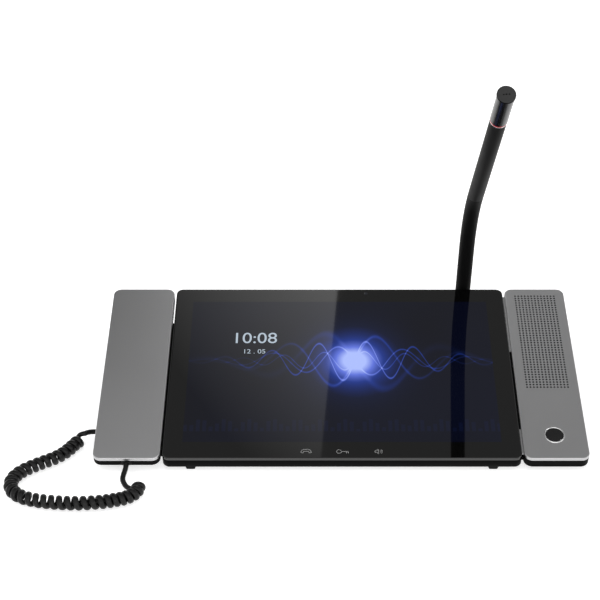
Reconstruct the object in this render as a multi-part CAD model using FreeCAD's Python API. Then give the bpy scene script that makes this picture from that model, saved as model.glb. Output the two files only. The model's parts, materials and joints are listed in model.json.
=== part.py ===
"""Desk intercom master station: a tilted touch tablet with a corded handset on its left,
a loudspeaker wing with a round call key on its right and a gooseneck microphone behind.

The tablet, the handset and the wing share one tilted top plane. They are modelled flat, in slab
coordinates: u to the right, v from the front edge to the back, w square to the glass and up, with
w = 0 on the glass. What stands on the desk is modelled in desk coordinates: x to the right, y back
from the front edge of the slab, z up from the desk. The finished part has X to the right, Y to the
back and Z up, with its origin on the desk under the middle of its bounding box, cord left out.
All lengths are in millimetres and all angles in degrees.
"""

import FreeCAD, Part
import math
import os

from FreeCAD import Placement, Rotation, Vector

# Slab: tablet in the middle, handset on the left, wing on the right
tilt = 12.0
body_depth = 163.5
tablet_width = 243.0
tablet_thickness = 8.9
handset_width = 45.4
wing_width = 44.2
side_gap = 1.5
corner_radius = 6.0
front_edge_height = 3.1

# Glass, display and frame
glass_thickness = 2.0
glass_edge_radius = 1.4
display_side = 7.0
display_front = 11.5
display_rear = 10.0
display_thickness = 3.2
pocket_clearance = 0.3
frame_floor = 3.0
frame_edge_bevel = 0.3
touch_board_width = 64.0
touch_board_depth = 5.6
touch_board_thickness = 1.2
touch_board_front = 3.3
camera_side = 19.7
camera_setback = 4.8
camera_radius = 2.6
camera_base = 7.0
camera_base_thickness = 1.4
camera_height = 3.4
driver_thickness = 0.3
driver_depth = 3.0
ribbon_slot_width = 30.0
ribbon_slot_depth = 8.0
ribbon_slot_front = 92.0

# Rear housing, a wedge between the slab and the desk
housing_width = 216.0
housing_front = 18.0
housing_setback = 5.5
housing_clearance = 2.4
housing_wall = 2.4
housing_corner = 8.0
post_radius = 4.2
post_side = 96.0
post_front = 34.0
post_setback = 20.5
screw_head_radius = 2.7
screw_head_height = 1.8
screw_radius = 1.45
screw_hole_clearance = 0.1
screw_seat = 6.0
screw_grip = 8.0
vent_count = 9
vent_pitch = 6.0
vent_width = 2.4
vent_length = 26.0
vent_front = 92.0

# Circuit board and the sockets at the back
board_width = 170.0
board_depth = 76.0
board_setback = 8.0
board_thickness = 1.6
processor_size = 18.0
processor_height = 2.2
memory_width = 12.0
memory_depth = 14.0
memory_height = 1.2
memory_side = 22.0
codec_size = 8.0
codec_height = 1.4
codec_side = -30.0
coil_radius = 5.0
coil_height = 5.0
capacitor_radius = 4.0
capacitor_height = 8.0
power_parts_side = -66.0
power_parts_spacing = 16.0
standoff_height = 3.2
standoff_radius = 3.0
board_hole_inset = 5.0
board_screw_radius = 1.0
board_screw_head = 2.3
board_screw_height = 1.4
board_screw_clearance = 0.3
socket_proud = 0.4
socket_clearance = 0.2
lan_side = -52.0
lan_width = 16.0
lan_height = 13.6
lan_length = 21.0
lan_mouth_width = 11.8
lan_mouth_height = 8.4
lan_mouth_depth = 13.0
lan_mouth_floor = 1.4
lan_latch_width = 6.0
lan_latch_height = 1.8
power_side = -26.0
power_width = 9.0
power_height = 11.0
power_length = 14.0
power_bore = 3.1
power_pin = 1.0
power_depth = 9.5
terminal_side = 16.0
terminal_ways = 6
terminal_pitch = 3.81
terminal_height = 8.4
terminal_length = 12.0
terminal_mouth = 2.4
terminal_mouth_depth = 5.0
terminal_floor = 1.6
terminal_driver_height = 1.6
terminal_driver_depth = 2.0

# Feet
front_foot_side = 102.6
front_foot_setback = 1.6
front_foot_top = 7.8
front_foot_bottom = 5.6
front_foot_depth = 9.0
front_foot_corner = 1.0
rear_foot_side = 90.0
rear_foot_radius = 7.0
rear_foot_setback = 18.0

# Handset and its cradle
handset_thickness = 7.2
handset_shell_depth = 2.7
shell_edge_radius = 1.6
shell_wall = 1.2
lower_wall = 1.4
lower_edge_bevel = 0.3
lip_thickness = 1.0
lip_clearance = 0.1
cup_depth = 3.0
ear_cup_width = 25.0
ear_cup_length = 27.0
ear_cup_setback = 13.5
mouth_cup_width = 22.0
mouth_cup_front = 8.0
mouth_cup_length = 16.0
cup_corner = 4.0
receiver_radius = 9.8
receiver_height = 5.0
handset_mic_radius = 4.8
handset_mic_height = 3.2
sound_slot_width = 1.4
sound_slot_length = 8.0
sound_slot_spacing = 3.0
magnet_radius = 3.0
magnet_height = 1.8
magnet_back = 80.0
sensor_width = 12.0
sensor_depth = 8.0
sensor_thickness = 1.2
sensor_chip_size = 3.2
sensor_chip_height = 0.6
handset_screw_head = 0.6
handset_screw_front = 44.0
seat_gap = 0.4
pad_width = 6.0
pad_length = 3.0
seat_pad_side = 11.0
seat_pad_front = 50.0
seat_pad_setback = 11.0
cradle_screw_bite = 1.0
cradle_screw_fronts = (40.0, 100.0)
cradle_left = 161.0
cradle_front = 6.0
cradle_setback = 7.5
cradle_thickness = 3.5
cradle_corner = 5.0
cradle_inner_inset = 1.6
cup_clearance = 0.8
neck_front = 11.0
neck_setback = 33.5
neck_top = 2.4
tab_width = 11.5
gland_width = 7.8
gland_height = 3.6
gland_proud = 0.3
gland_centre = 5.0
gland_flange_margin = 0.8
gland_flange_thickness = 1.2

# Wing
cover_skirt = 2.4
flange_depth = 7.3
flange_end = 6.2
flange_clearance = 0.1
hole_columns = 7
hole_rows = 20
hole_pitch = 4.8
hole_side = 1.7
grille_setback = 7.7
base_floor = 1.6
wing_neck_front = 28.0
wing_neck_back = 101.0
wing_neck_top = 2.6
notch_clearance = 0.2
mesh_thickness = 0.3
gasket_thickness = 0.8
gasket_width = 2.5
speaker_width = 36.0
speaker_length = 72.0
speaker_flange = 1.4
speaker_rim = 4.0
speaker_basket_depth = 1.6
speaker_dome_radius = 5.0
speaker_dome_height = 1.0
magnet_cup_radius = 12.0
bracket_thickness = 1.6
bracket_width = 40.0
bracket_setback = 24.6
bracket_length = 50.0
bracket_side = 110.0
bracket_corner = 4.0
bracket_screw_inset = 8.0
bracket_screw_side = 5.0
bracket_screw_bite = 1.8
bracket_post_radius = 3.0
bracket_post_height = 1.2

# Round call key
key_back = 20.65
key_radius = 6.2
ring_radius = 7.4
ring_inner_radius = 6.3
ring_proud = 0.5
ring_bevel = 0.35
ring_flange = 1.0
ring_flange_thickness = 0.8
key_proud = 0.2
key_travel = 0.8
key_flange_radius = 7.1
key_flange_thickness = 0.6
key_bevel = 0.25
key_stem_radius = 1.6
key_stem_depth = 0.2
key_stem_clearance = 0.2
key_stop_gap = 0.4
switch_size = 6.2
switch_height = 2.6
fit_clearance = 0.05

# Gooseneck microphone
mic_side = 93.4
mic_setback = 7.9
boss_radius = 9.5
boss_top = 22.0
boss_bottom = 38.0
bush_radius = 7.0
bush_length = 15.0
ferrule_radius = 5.2
nut_radius = 7.6
nut_height = 5.0
sleeve_radius = 5.6
first_joint_height = 38.7
link_pitch = 11.2
link_count = 5
link_angle = 3.95
bend_turn = 5.0
barrel_radius = 3.2
barrel_length = 6.0
barrel_clearance = 0.08
neck_width = 3.0
neck_length = 5.0
socket_lip = 2.0
link_gap = 1.6
stem_radius = 5.6
stem_length = 147.0
head_length = 33.1
head_radius = 5.75
head_wall = 0.8
head_cavity = 4.0
ring_band_radius = 5.75
trim_height = 0.5
status_height = 1.2
cap_radius = 6.1
cap_thickness = 1.6
cap_bevel = 0.35
cap_hole_radius = 0.45
cap_hole_pitch = 1.78
capsule_radius = 4.6
capsule_height = 6.0

# Curly cord
wire_diameter = 2.9
curl_diameter = 9.8
curl_turns = 34.5
desk_clearance = 0.05
unwind_length = 7.0
jack_front = 27.5
jack_width = 13.0
jack_length = 13.0
jack_left = 163.0
jack_top = 8.4
jack_bottom = 16.2
plug_width = 7.6
plug_height = 5.8
plug_length = 12.0
plug_proud = 2.5
plug_latch_width = 3.2
plug_latch_height = 1.2
plug_clearance = 0.15

half_tablet = tablet_width / 2
inner_side = half_tablet + side_gap
outer_side = inner_side + wing_width
wing_centre = (inner_side + outer_side) / 2
handset_side = -inner_side - handset_width
handset_middle = (handset_side - inner_side) / 2
display_width = tablet_width - 2 * display_side
display_depth = body_depth - display_front - display_rear
camera_back = body_depth - camera_setback
housing_rear = body_depth - housing_setback
board_back = housing_rear - board_setback
board_front = board_back - board_depth
ear_cup_front = body_depth - ear_cup_setback - ear_cup_length
seat_pad_back = ear_cup_front - seat_pad_setback
cradle_back = body_depth - cradle_setback
neck_back = body_depth - neck_setback
grille_front = body_depth - grille_setback - (hole_rows - 1) * hole_pitch
bracket_front = grille_front - bracket_setback
mic_back = body_depth + mic_setback
sine = math.sin(math.radians(tilt))
cosine = math.cos(math.radians(tilt))
slab_height = front_edge_height + tablet_thickness * cosine
under_desk = -(slab_height + body_depth * sine) / cosine

slab_place = Placement(Vector(0, 0, slab_height), Rotation(Vector(1, 0, 0), tilt))


def whole(solids):
    """One shape from a solid or from a list of separate solids."""
    if isinstance(solids, list):
        return Part.makeCompound(solids)
    return solids


def to_desk(shape):
    """A shape drawn in slab coordinates, moved to desk coordinates."""
    moved = shape.copy()
    moved.Placement = slab_place.multiply(moved.Placement)
    return moved


def save(name, shape, shift):
    """Check one node, move it to the finished part's origin and write it."""
    for solid in shape.Solids:
        if not solid.isValid() or solid.Volume <= 0:
            raise ValueError(name + " has a bad solid")
    moved = shape.copy()
    moved.translate(shift)
    moved.exportStep(os.path.join("parts", name + ".step"))


def plate(u_min, u_max, v_min, v_max, w_min, w_max, radius=0.0):
    """Upright block with round corners."""
    block = Part.makeBox(u_max - u_min, v_max - v_min, w_max - w_min, Vector(u_min, v_min, w_min))
    if radius <= 0:
        return block
    upright = [edge for edge in block.Edges if abs(edge.tangentAt(edge.FirstParameter).z) > 0.9]
    return block.makeFillet(radius, upright)


def rod(u, v, w_min, w_max, radius):
    return Part.makeCylinder(radius, w_max - w_min, Vector(u, v, w_min))


def oval(u, v, width, length, w_min, w_max):
    """Upright prism with fully round ends, long along v."""
    return plate(u - width / 2, u + width / 2, v - length / 2, v + length / 2,
                 w_min, w_max, width / 2 - 0.01)


def edges_at(shape, w):
    """Edges that lie wholly at one height."""
    return [edge for edge in shape.Edges
            if abs(edge.BoundBox.ZMin - w) < 0.001 and abs(edge.BoundBox.ZMax - w) < 0.001]


def join(solids):
    joined = solids[0]
    for solid in solids[1:]:
        joined = joined.fuse(solid)
    return joined.removeSplitter()


def hexagon(u, v, w_min, w_max, radius):
    """Upright six-sided prism; radius reaches its corners."""
    corners = [Vector(u + radius * math.cos(math.radians(60 * index)),
                      v + radius * math.sin(math.radians(60 * index)), w_min) for index in range(7)]
    return Part.Face(Part.makePolygon(corners)).extrude(Vector(0, 0, w_max - w_min))


def screw(u, v, head_low, head_height, grip):
    """Hexagon-head screw that points up, with the length of shank that grip gives."""
    head = hexagon(u, v, head_low, head_low + head_height, screw_head_radius)
    shank = rod(u, v, head_low + head_height, head_low + head_height + grip, screw_radius)
    return head.fuse(shank)


# Tablet

def front_glass():
    glass = plate(-half_tablet, half_tablet, 0, body_depth, -glass_thickness, 0, corner_radius)
    return glass.makeFillet(glass_edge_radius, edges_at(glass, 0))


def post_places():
    return [(side * post_side, v) for side in (-1, 1) for v in (post_front, body_depth - post_setback)]


def bracket_screw_places():
    """Two screws into the tablet's frame, then two into the wing."""
    inner = bracket_side + bracket_screw_side
    outer = bracket_side + bracket_width - bracket_screw_inset
    front = bracket_front + bracket_screw_inset
    back = bracket_front + bracket_length - bracket_screw_inset
    return [(inner, front), (inner, back), (outer, front), (outer, back)]


def cradle_screw_places():
    return [(-half_tablet + tab_width / 2, v) for v in cradle_screw_fronts]


def front_frame():
    low = -tablet_thickness
    frame = plate(-half_tablet, half_tablet, 0, body_depth, low, -glass_thickness, corner_radius)
    frame = frame.makeChamfer(frame_edge_bevel, edges_at(frame, low))
    reach = display_width / 2 + pocket_clearance
    frame = frame.cut(plate(-reach, reach, display_front - pocket_clearance,
                            display_front + display_depth + pocket_clearance, low + frame_floor, 0))
    half = touch_board_width / 2 + pocket_clearance
    frame = frame.cut(plate(-half, half, touch_board_front - pocket_clearance,
                            touch_board_front + touch_board_depth + pocket_clearance,
                            -glass_thickness - touch_board_thickness - pocket_clearance, 0))
    half = camera_base / 2 + pocket_clearance
    frame = frame.cut(plate(camera_side - half, camera_side + half, camera_back - half, camera_back + half,
                            -glass_thickness - camera_height - pocket_clearance, 0))
    frame = frame.cut(plate(-ribbon_slot_width / 2, ribbon_slot_width / 2, ribbon_slot_front,
                            ribbon_slot_front + ribbon_slot_depth, low - 1, 0))
    blind = frame_floor - 0.8
    places = post_places() + cradle_screw_places() + bracket_screw_places()[:2]
    for u, v in places:
        frame = frame.cut(rod(u, v, low - 1, low + blind, screw_radius + screw_hole_clearance))
    return frame


def lcd_panel():
    top = -glass_thickness
    panel = plate(-display_width / 2, display_width / 2, display_front, display_front + display_depth,
                  top - display_thickness, top)
    half = ribbon_slot_width / 2 - 1
    low = top - display_thickness
    driver_strip = plate(-half, half, ribbon_slot_front + 1, ribbon_slot_front + 1 + driver_depth,
                         low - driver_thickness, low)
    return panel.fuse(driver_strip)


def touch_key_board():
    top = -glass_thickness
    board = plate(-touch_board_width / 2, touch_board_width / 2, touch_board_front,
                  touch_board_front + touch_board_depth, top - touch_board_thickness, top)
    return board


def camera_module():
    top = -glass_thickness
    half = camera_base / 2
    low = top - camera_height
    base = plate(camera_side - half, camera_side + half, camera_back - half, camera_back + half,
                 low, low + camera_base_thickness, 0.8)
    lens = rod(camera_side, camera_back, low + camera_base_thickness, top, camera_radius)
    return base.fuse(lens)


# Rear housing

def underside_z(y):
    """Height of the slab's underside above the desk, at distance y behind the front edge."""
    edge_y = tablet_thickness * sine
    return front_edge_height + (y - edge_y) * sine / cosine


def wedge(inset, headroom):
    """Wedge under the slab, drawn in from every wall by inset; headroom lifts its sloping top."""
    front = housing_front + inset
    rear = housing_rear - inset
    floor = housing_clearance + inset
    points = [Vector(0, front, floor), Vector(0, rear, floor),
              Vector(0, rear, underside_z(rear) + headroom), Vector(0, front, underside_z(front) + headroom),
              Vector(0, front, floor)]
    half = housing_width / 2 - inset
    profile = Part.Face(Part.makePolygon(points))
    profile.translate(Vector(-half, 0, 0))
    solid = profile.extrude(Vector(2 * half, 0, 0))
    upright = [edge for edge in solid.Edges if abs(edge.tangentAt(edge.FirstParameter).z) > 0.99]
    return solid.makeFillet(housing_corner - inset, upright)


def board_corners():
    side = board_width / 2 - board_hole_inset
    front = board_front + board_hole_inset
    back = board_back - board_hole_inset
    return [(-side, front), (-side, back), (side, front), (side, back)]


def board_holes():
    """The two opposite corners where the board is screwed down."""
    corners = board_corners()
    return [corners[0], corners[-1]]


def board_level():
    return housing_clearance + housing_wall + standoff_height


def rear_housing():
    outside = wedge(0, 0)
    cavity = wedge(housing_wall, 0)
    shell = outside.cut(wedge(housing_wall, housing_wall))
    floor = housing_clearance + housing_wall
    arm = plate(mic_side - boss_radius, mic_side + boss_radius, housing_rear - 2 * boss_radius, mic_back,
                -boss_bottom, -boss_top)
    eye = rod(mic_side, mic_back, -boss_bottom, -boss_top, boss_radius)
    boss = to_desk(arm).cut(outside).fuse(to_desk(eye).cut(outside))
    shell = join([shell, boss])
    for u, v in post_places():
        post = to_desk(rod(u, v, under_desk, -tablet_thickness, post_radius)).common(cavity)
        shell = shell.fuse(post)
    for x, y in board_corners():
        shell = shell.fuse(plate(x - standoff_radius, x + standoff_radius, y - standoff_radius,
                                 y + standoff_radius, floor, floor + standoff_height))
    shell = shell.removeSplitter()
    bore = to_desk(rod(mic_side, mic_back, -boss_top - bush_length, 0, bush_radius + fit_clearance))
    shell = shell.cut(bore)
    for u, v in post_places():
        shank = rod(u, v, under_desk, 0, screw_radius + screw_hole_clearance)
        head = rod(u, v, under_desk, -tablet_thickness - screw_seat, screw_head_radius + screw_hole_clearance)
        shell = shell.cut(to_desk(shank)).cut(to_desk(head))
    for x, y in board_holes():
        radius = board_screw_radius + screw_hole_clearance
        shell = shell.cut(rod(x, y, floor, floor + 2 * standoff_height, radius))
    for x, width, height in sockets():
        gap = socket_clearance
        shell = shell.cut(plate(x - width / 2 - gap, x + width / 2 + gap, housing_rear - housing_wall - 1,
                                housing_rear + 1, board_level() + board_thickness - gap,
                                board_level() + board_thickness + height + gap))
    for index in range(vent_count):
        x = (index - (vent_count - 1) / 2) * vent_pitch
        shell = shell.cut(plate(x - vent_width / 2, x + vent_width / 2, vent_front, vent_front + vent_length,
                                0, floor + 1))
    return shell


def sockets():
    """Side, width and height of each socket in the rear wall."""
    return [(lan_side, lan_width, lan_height), (power_side, power_width, power_height),
            (terminal_side, terminal_ways * terminal_pitch, terminal_height)]


def main_board():
    low = board_level()
    board = plate(-board_width / 2, board_width / 2, board_front, board_back, low, low + board_thickness)
    top = low + board_thickness
    middle = (board_front + board_back) / 2
    processor = chip(0, middle, processor_size, processor_size, top, processor_height)
    memory = chip(memory_side, middle, memory_width, memory_depth, top, memory_height)
    codec = chip(codec_side, middle, codec_size, codec_size, top, codec_height)
    coil = rod(power_parts_side, middle - power_parts_spacing, top, top + coil_height, coil_radius)
    capacitor = rod(power_parts_side, middle, top, top + capacitor_height, capacitor_radius)
    board = join([board, processor, memory, codec, coil, capacitor])
    for x, y in board_holes():
        board = board.cut(rod(x, y, low - 1, top + 1, board_screw_radius + board_screw_clearance))
    return board


def chip(x, y, width, depth, low, height):
    return plate(x - width / 2, x + width / 2, y - depth / 2, y + depth / 2, low, low + height)


def board_screws():
    top = board_level() + board_thickness
    screws = []
    for x, y in board_holes():
        head = hexagon(x, y, top, top + board_screw_height, board_screw_head)
        shank = rod(x, y, housing_clearance + housing_wall, top, board_screw_radius)
        screws.append(head.fuse(shank))
    return screws


def housing_screws():
    head_low = -tablet_thickness - screw_seat - screw_head_height
    return [screw(u, v, head_low, screw_head_height, screw_grip) for u, v in post_places()]


def socket_body(side, width, height, length):
    low = board_level() + board_thickness
    back = housing_rear + socket_proud
    return plate(side - width / 2, side + width / 2, back - length, back, low, low + height)


def lan_socket():
    """Network socket: a plain box with a mouth and the slot above it for the plug's latch."""
    low = board_level() + board_thickness + lan_mouth_floor
    top = low + lan_mouth_height
    back = housing_rear + socket_proud
    body = socket_body(lan_side, lan_width, lan_height, lan_length)
    half = lan_mouth_width / 2
    mouth = plate(lan_side - half, lan_side + half, back - lan_mouth_depth, back + 1, low, top)
    half = lan_latch_width / 2
    latch = plate(lan_side - half, lan_side + half, back - lan_mouth_depth, back + 1,
                  low, top + lan_latch_height)
    return body.cut(mouth).cut(latch)


def power_socket():
    middle = board_level() + board_thickness + power_height / 2
    back = housing_rear + socket_proud
    body = socket_body(power_side, power_width, power_height, power_length)
    bottom = Vector(power_side, back - power_depth, middle)
    bore = Part.makeCylinder(power_bore, power_depth + 1, bottom, Vector(0, 1, 0))
    pin = Part.makeCylinder(power_pin, power_depth - power_pin, bottom, Vector(0, 1, 0))
    return body.cut(bore).fuse(pin)


def terminal_block():
    """Row of wire clamps: a square mouth for each wire and a slot for the screwdriver above it."""
    low = board_level() + board_thickness + terminal_floor
    slot_top = low - terminal_floor + terminal_height - terminal_floor
    back = housing_rear + socket_proud
    half = terminal_mouth / 2
    body = socket_body(terminal_side, terminal_ways * terminal_pitch, terminal_height, terminal_length)
    for index in range(terminal_ways):
        x = terminal_side + (index - (terminal_ways - 1) / 2) * terminal_pitch
        body = body.cut(plate(x - half, x + half, back - terminal_mouth_depth, back + 1,
                              low, low + terminal_mouth))
        body = body.cut(plate(x - half, x + half, back - terminal_driver_depth, back + 1,
                              slot_top - terminal_driver_height, slot_top))
    return body


def front_feet():
    """Two tapered rubber feet under the front edge, cut off at the slab's underside."""
    front = tablet_thickness * sine + front_foot_setback
    slab = to_desk(plate(-half_tablet, half_tablet, -5, body_depth, -tablet_thickness, 5))
    feet = []
    for side in (-1, 1):
        centre = side * front_foot_side
        low, high = front_foot_bottom / 2, front_foot_top / 2
        points = [Vector(centre - low, front, 0), Vector(centre + low, front, 0),
                  Vector(centre + high, front, front_edge_height), Vector(centre + high, front, 12),
                  Vector(centre - high, front, 12), Vector(centre - high, front, front_edge_height),
                  Vector(centre - low, front, 0)]
        foot = Part.Face(Part.makePolygon(points)).extrude(Vector(0, front_foot_depth, 0))
        lower = [edge for edge in foot.Edges
                 if abs(edge.tangentAt(edge.FirstParameter).y) > 0.9 and edge.BoundBox.ZMax < 0.01]
        feet.append(foot.makeFillet(front_foot_corner, lower).cut(slab))
    return feet


def rear_feet():
    feet = []
    y = housing_rear - rear_foot_setback
    for side in (-1, 1):
        foot = rod(side * rear_foot_side, y, 0, housing_clearance, rear_foot_radius)
        feet.append(foot.makeChamfer(0.5, edges_at(foot, 0)))
    return feet


# Handset

def cup(width, front, length, inset, w_min, w_max):
    """Block of a sound cup under the handset, drawn in by inset."""
    return plate(handset_middle - width / 2 + inset, handset_middle + width / 2 - inset, front + inset,
                 front + length - inset, w_min, w_max, cup_corner - min(inset, cup_corner - 0.5))


def handset_top_shell():
    low = -handset_shell_depth
    shell = plate(handset_side, -inner_side, 0, body_depth, low, 0, corner_radius)
    shell = shell.makeFillet(shell_edge_radius, edges_at(shell, 0))
    hollow = plate(handset_side + shell_wall, -inner_side - shell_wall, shell_wall, body_depth - shell_wall,
                   low - 1, -shell_wall, corner_radius - shell_wall)
    return shell.cut(hollow)


def gland_bore(extra):
    """Oval gland in the handset's front wall, grown by extra."""
    half_width = gland_width / 2 + extra
    half_height = gland_height / 2 + extra
    block = Part.makeBox(2 * half_width, gland_proud + lower_wall + gland_flange_thickness, 2 * half_height,
                         Vector(handset_middle - half_width, -gland_proud, -gland_centre - half_height))
    along = [edge for edge in block.Edges if abs(edge.tangentAt(edge.FirstParameter).y) > 0.9]
    return block.makeFillet(half_height - 0.05, along)


def sound_slots(front, length, count):
    """Cutters for a row of slots through the floor of a sound cup."""
    middle = front + length / 2
    half = sound_slot_length / 2
    low = -handset_thickness - cup_depth - 1
    slots = []
    for index in range(count):
        v = middle + (index - (count - 1) / 2) * sound_slot_spacing
        slots.append(plate(handset_middle - half, handset_middle + half, v - sound_slot_width / 2,
                           v + sound_slot_width / 2, low, 0))
    return slots


def handset_lower_shell():
    top = -handset_shell_depth
    low = -handset_thickness
    shell = plate(handset_side, -inner_side, 0, body_depth, low, top, corner_radius)
    shell = shell.makeChamfer(lower_edge_bevel, edges_at(shell, low))
    step = shell_wall + lip_clearance
    lip = plate(handset_side + step, -inner_side - step, step, body_depth - step, top,
                top + handset_shell_depth - shell_wall - lip_clearance, corner_radius - step)
    shell = shell.fuse(lip)
    for width, front, length in cups():
        shell = shell.fuse(cup(width, front, length, 0, low - cup_depth, low + 1))
    shell = shell.removeSplitter()
    inset = max(lower_wall, step + lip_thickness)
    hollow = plate(handset_side + inset, -inner_side - inset, inset, body_depth - inset, low + lower_wall, 0,
                   corner_radius - inset)
    shell = shell.cut(hollow)
    for width, front, length in cups():
        shell = shell.cut(cup(width, front, length, lower_wall, low - cup_depth + lower_wall, 0))
    slots = sound_slots(ear_cup_front, ear_cup_length, 5)
    slots += sound_slots(mouth_cup_front, mouth_cup_length, 2)
    for slot in slots:
        shell = shell.cut(slot)
    shell = shell.cut(gland_bore(0))
    for v in handset_screw_places():
        shell = shell.cut(hexagon(handset_middle, v, low - 1, low + handset_screw_head,
                                  screw_head_radius + 2 * screw_hole_clearance))
        shell = shell.cut(rod(handset_middle, v, low - 1, 0, screw_radius + screw_hole_clearance))
    return shell


def cups():
    """Width, front and length of the ear cup and the mouth cup."""
    return [(ear_cup_width, ear_cup_front, ear_cup_length),
            (mouth_cup_width, mouth_cup_front, mouth_cup_length)]


def handset_screw_places():
    return handset_screw_front, seat_pad_back


def handset_screws():
    """Screws from below, their heads sunk just under the lower shell's face."""
    grip = handset_thickness - handset_screw_head - shell_wall
    low = -handset_thickness
    return [screw(handset_middle, v, low, handset_screw_head, grip) for v in handset_screw_places()]


def receiver_capsule():
    seat = -handset_thickness - cup_depth + lower_wall
    centre = ear_cup_front + ear_cup_length / 2
    body = rod(handset_middle, centre, seat, seat + receiver_height, receiver_radius)
    return body.cut(rod(handset_middle, centre, seat - 1, seat + 0.6, receiver_radius - 1.5))


def handset_microphone():
    seat = -handset_thickness - cup_depth + lower_wall
    centre = mouth_cup_front + mouth_cup_length / 2
    return rod(handset_middle, centre, seat, seat + handset_mic_height, handset_mic_radius)


def handset_magnet():
    seat = -handset_thickness + lower_wall
    return rod(handset_middle, magnet_back, seat, seat + magnet_height, magnet_radius)


def handset_gland():
    """Gland with a flange that holds it behind the handset's front wall."""
    wall = max(lower_wall, shell_wall + lip_clearance + lip_thickness)
    half = gland_width / 2 + gland_flange_margin
    flange = plate(handset_middle - half, handset_middle + half, wall, wall + gland_flange_thickness,
                   -handset_thickness + lower_wall, -gland_centre + gland_height / 2)
    return gland_bore(0).fuse(flange)


# Cradle under the handset

def cradle_levels():
    top = -handset_thickness - seat_gap
    return top, top - cradle_thickness


def handset_cradle():
    top, low = cradle_levels()
    right = -inner_side + seat_gap
    edge = -inner_side - cradle_inner_inset
    tray = plate(-cradle_left, edge, cradle_front, cradle_back, low, top, cradle_corner)
    bridge = plate(edge - cradle_corner, right, cradle_front + cradle_corner, neck_back, low, top)
    tab = plate(right - 0.5, -half_tablet + tab_width, cradle_front + cradle_corner, neck_back, low,
                -tablet_thickness)
    neck = plate(right, -half_tablet, neck_front, neck_back, -tablet_thickness, -neck_top)
    root = plate(right, -half_tablet, neck_front, neck_back, low, -tablet_thickness)
    cradle = join([tray, bridge, tab, root, neck])
    for width, front, length in cups():
        cradle = cradle.cut(cup(width + 2 * cup_clearance, front - cup_clearance,
                                length + 2 * cup_clearance, 0, low - 1, 0))
    cradle = cradle.cut(plate(-cradle_left - 1, -jack_left + jack_length + plug_clearance,
                              jack_front - plug_clearance, jack_front + jack_width + plug_clearance,
                              low - 1, -jack_top))
    half_width = sensor_width / 2 + plug_clearance
    half_depth = sensor_depth / 2 + plug_clearance
    cradle = cradle.cut(plate(handset_middle - half_width, handset_middle + half_width,
                              magnet_back - half_depth, magnet_back + half_depth,
                              low - 1, low + sensor_chip_height + sensor_thickness))
    for u, v in cradle_screw_places():
        cradle = cradle.cut(rod(u, v, low - 1, 0, screw_radius + screw_hole_clearance))
    return cradle


def cradle_screws():
    top, low = cradle_levels()
    grip = cradle_thickness + cradle_screw_bite - seat_gap
    return [screw(u, v, low - screw_head_height, screw_head_height, grip) for u, v in cradle_screw_places()]


def seat_pads():
    """Soft pads that the handset rests on."""
    top, low = cradle_levels()
    pads = []
    for side in (-1, 1):
        for v in (seat_pad_front, seat_pad_back):
            u = handset_middle + side * seat_pad_side
            pads.append(plate(u - pad_width / 2, u + pad_width / 2, v - pad_length / 2, v + pad_length / 2,
                              top, top + seat_gap))
    return pads


def hook_sensor():
    top, low = cradle_levels()
    board_low = low + sensor_chip_height
    board = chip(handset_middle, magnet_back, sensor_width, sensor_depth, board_low, sensor_thickness)
    sensor = chip(handset_middle, magnet_back, sensor_chip_size, sensor_chip_size, low, sensor_chip_height)
    return board.fuse(sensor)


def jack_centre():
    """Middle of the cord socket's mouth, as v and w."""
    return jack_front + jack_width / 2, -(jack_top + jack_bottom) / 2


def cord_jack():
    middle_v, middle_w = jack_centre()
    body = plate(-jack_left, -jack_left + jack_length, jack_front, jack_front + jack_width,
                 -jack_bottom, -jack_top)
    half_width = plug_width / 2 + plug_clearance
    half_height = plug_height / 2 + plug_clearance
    end = -jack_left + plug_length - plug_proud + plug_clearance
    mouth = plate(-jack_left - 1, end, middle_v - half_width, middle_v + half_width,
                  middle_w - half_height, middle_w + half_height)
    return body.cut(mouth)


def cord_plug():
    middle_v, middle_w = jack_centre()
    front = -jack_left - plug_proud
    body = plate(front, front + plug_length, middle_v - plug_width / 2, middle_v + plug_width / 2,
                 middle_w - plug_height / 2, middle_w + plug_height / 2)
    low = middle_w - plug_height / 2
    half = plug_latch_width / 2
    latch = plate(front + 2 * plug_clearance, front + plug_proud - 2 * plug_clearance,
                  middle_v - half, middle_v + half, low - plug_latch_height, low)
    return body.fuse(latch)


# Wing

def grille_places():
    first_u = wing_centre - (hole_columns - 1) / 2 * hole_pitch
    return [(first_u + column * hole_pitch, grille_front + row * hole_pitch)
            for row in range(hole_rows) for column in range(hole_columns)]


def grille_outline(u, v):
    """Outline of one hole of the grille, a small square that stands on a corner."""
    reach = hole_side / 2
    w = -shell_wall
    corners = [(u, v - reach), (u + reach, v), (u, v + reach), (u - reach, v), (u, v - reach)]
    return Part.makePolygon([Vector(across, along, w) for across, along in corners])


def grille_panel():
    """The perforated part of the top, and the cutter of the window that it fills."""
    half = (hole_columns + 1) / 2 * hole_pitch
    front = grille_front - hole_pitch
    back = grille_front + hole_rows * hole_pitch
    window = plate(wing_centre - half, wing_centre + half, front, back, -shell_wall, 0)
    border = [face for face in window.Faces if face.CenterOfMass.z < -shell_wall + 0.001][0].OuterWire
    wires = [border] + [grille_outline(u, v) for u, v in grille_places()]
    face = Part.makeFace(wires, "Part::FaceMakerBullseye")
    return face.extrude(Vector(0, 0, shell_wall)), window


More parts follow.
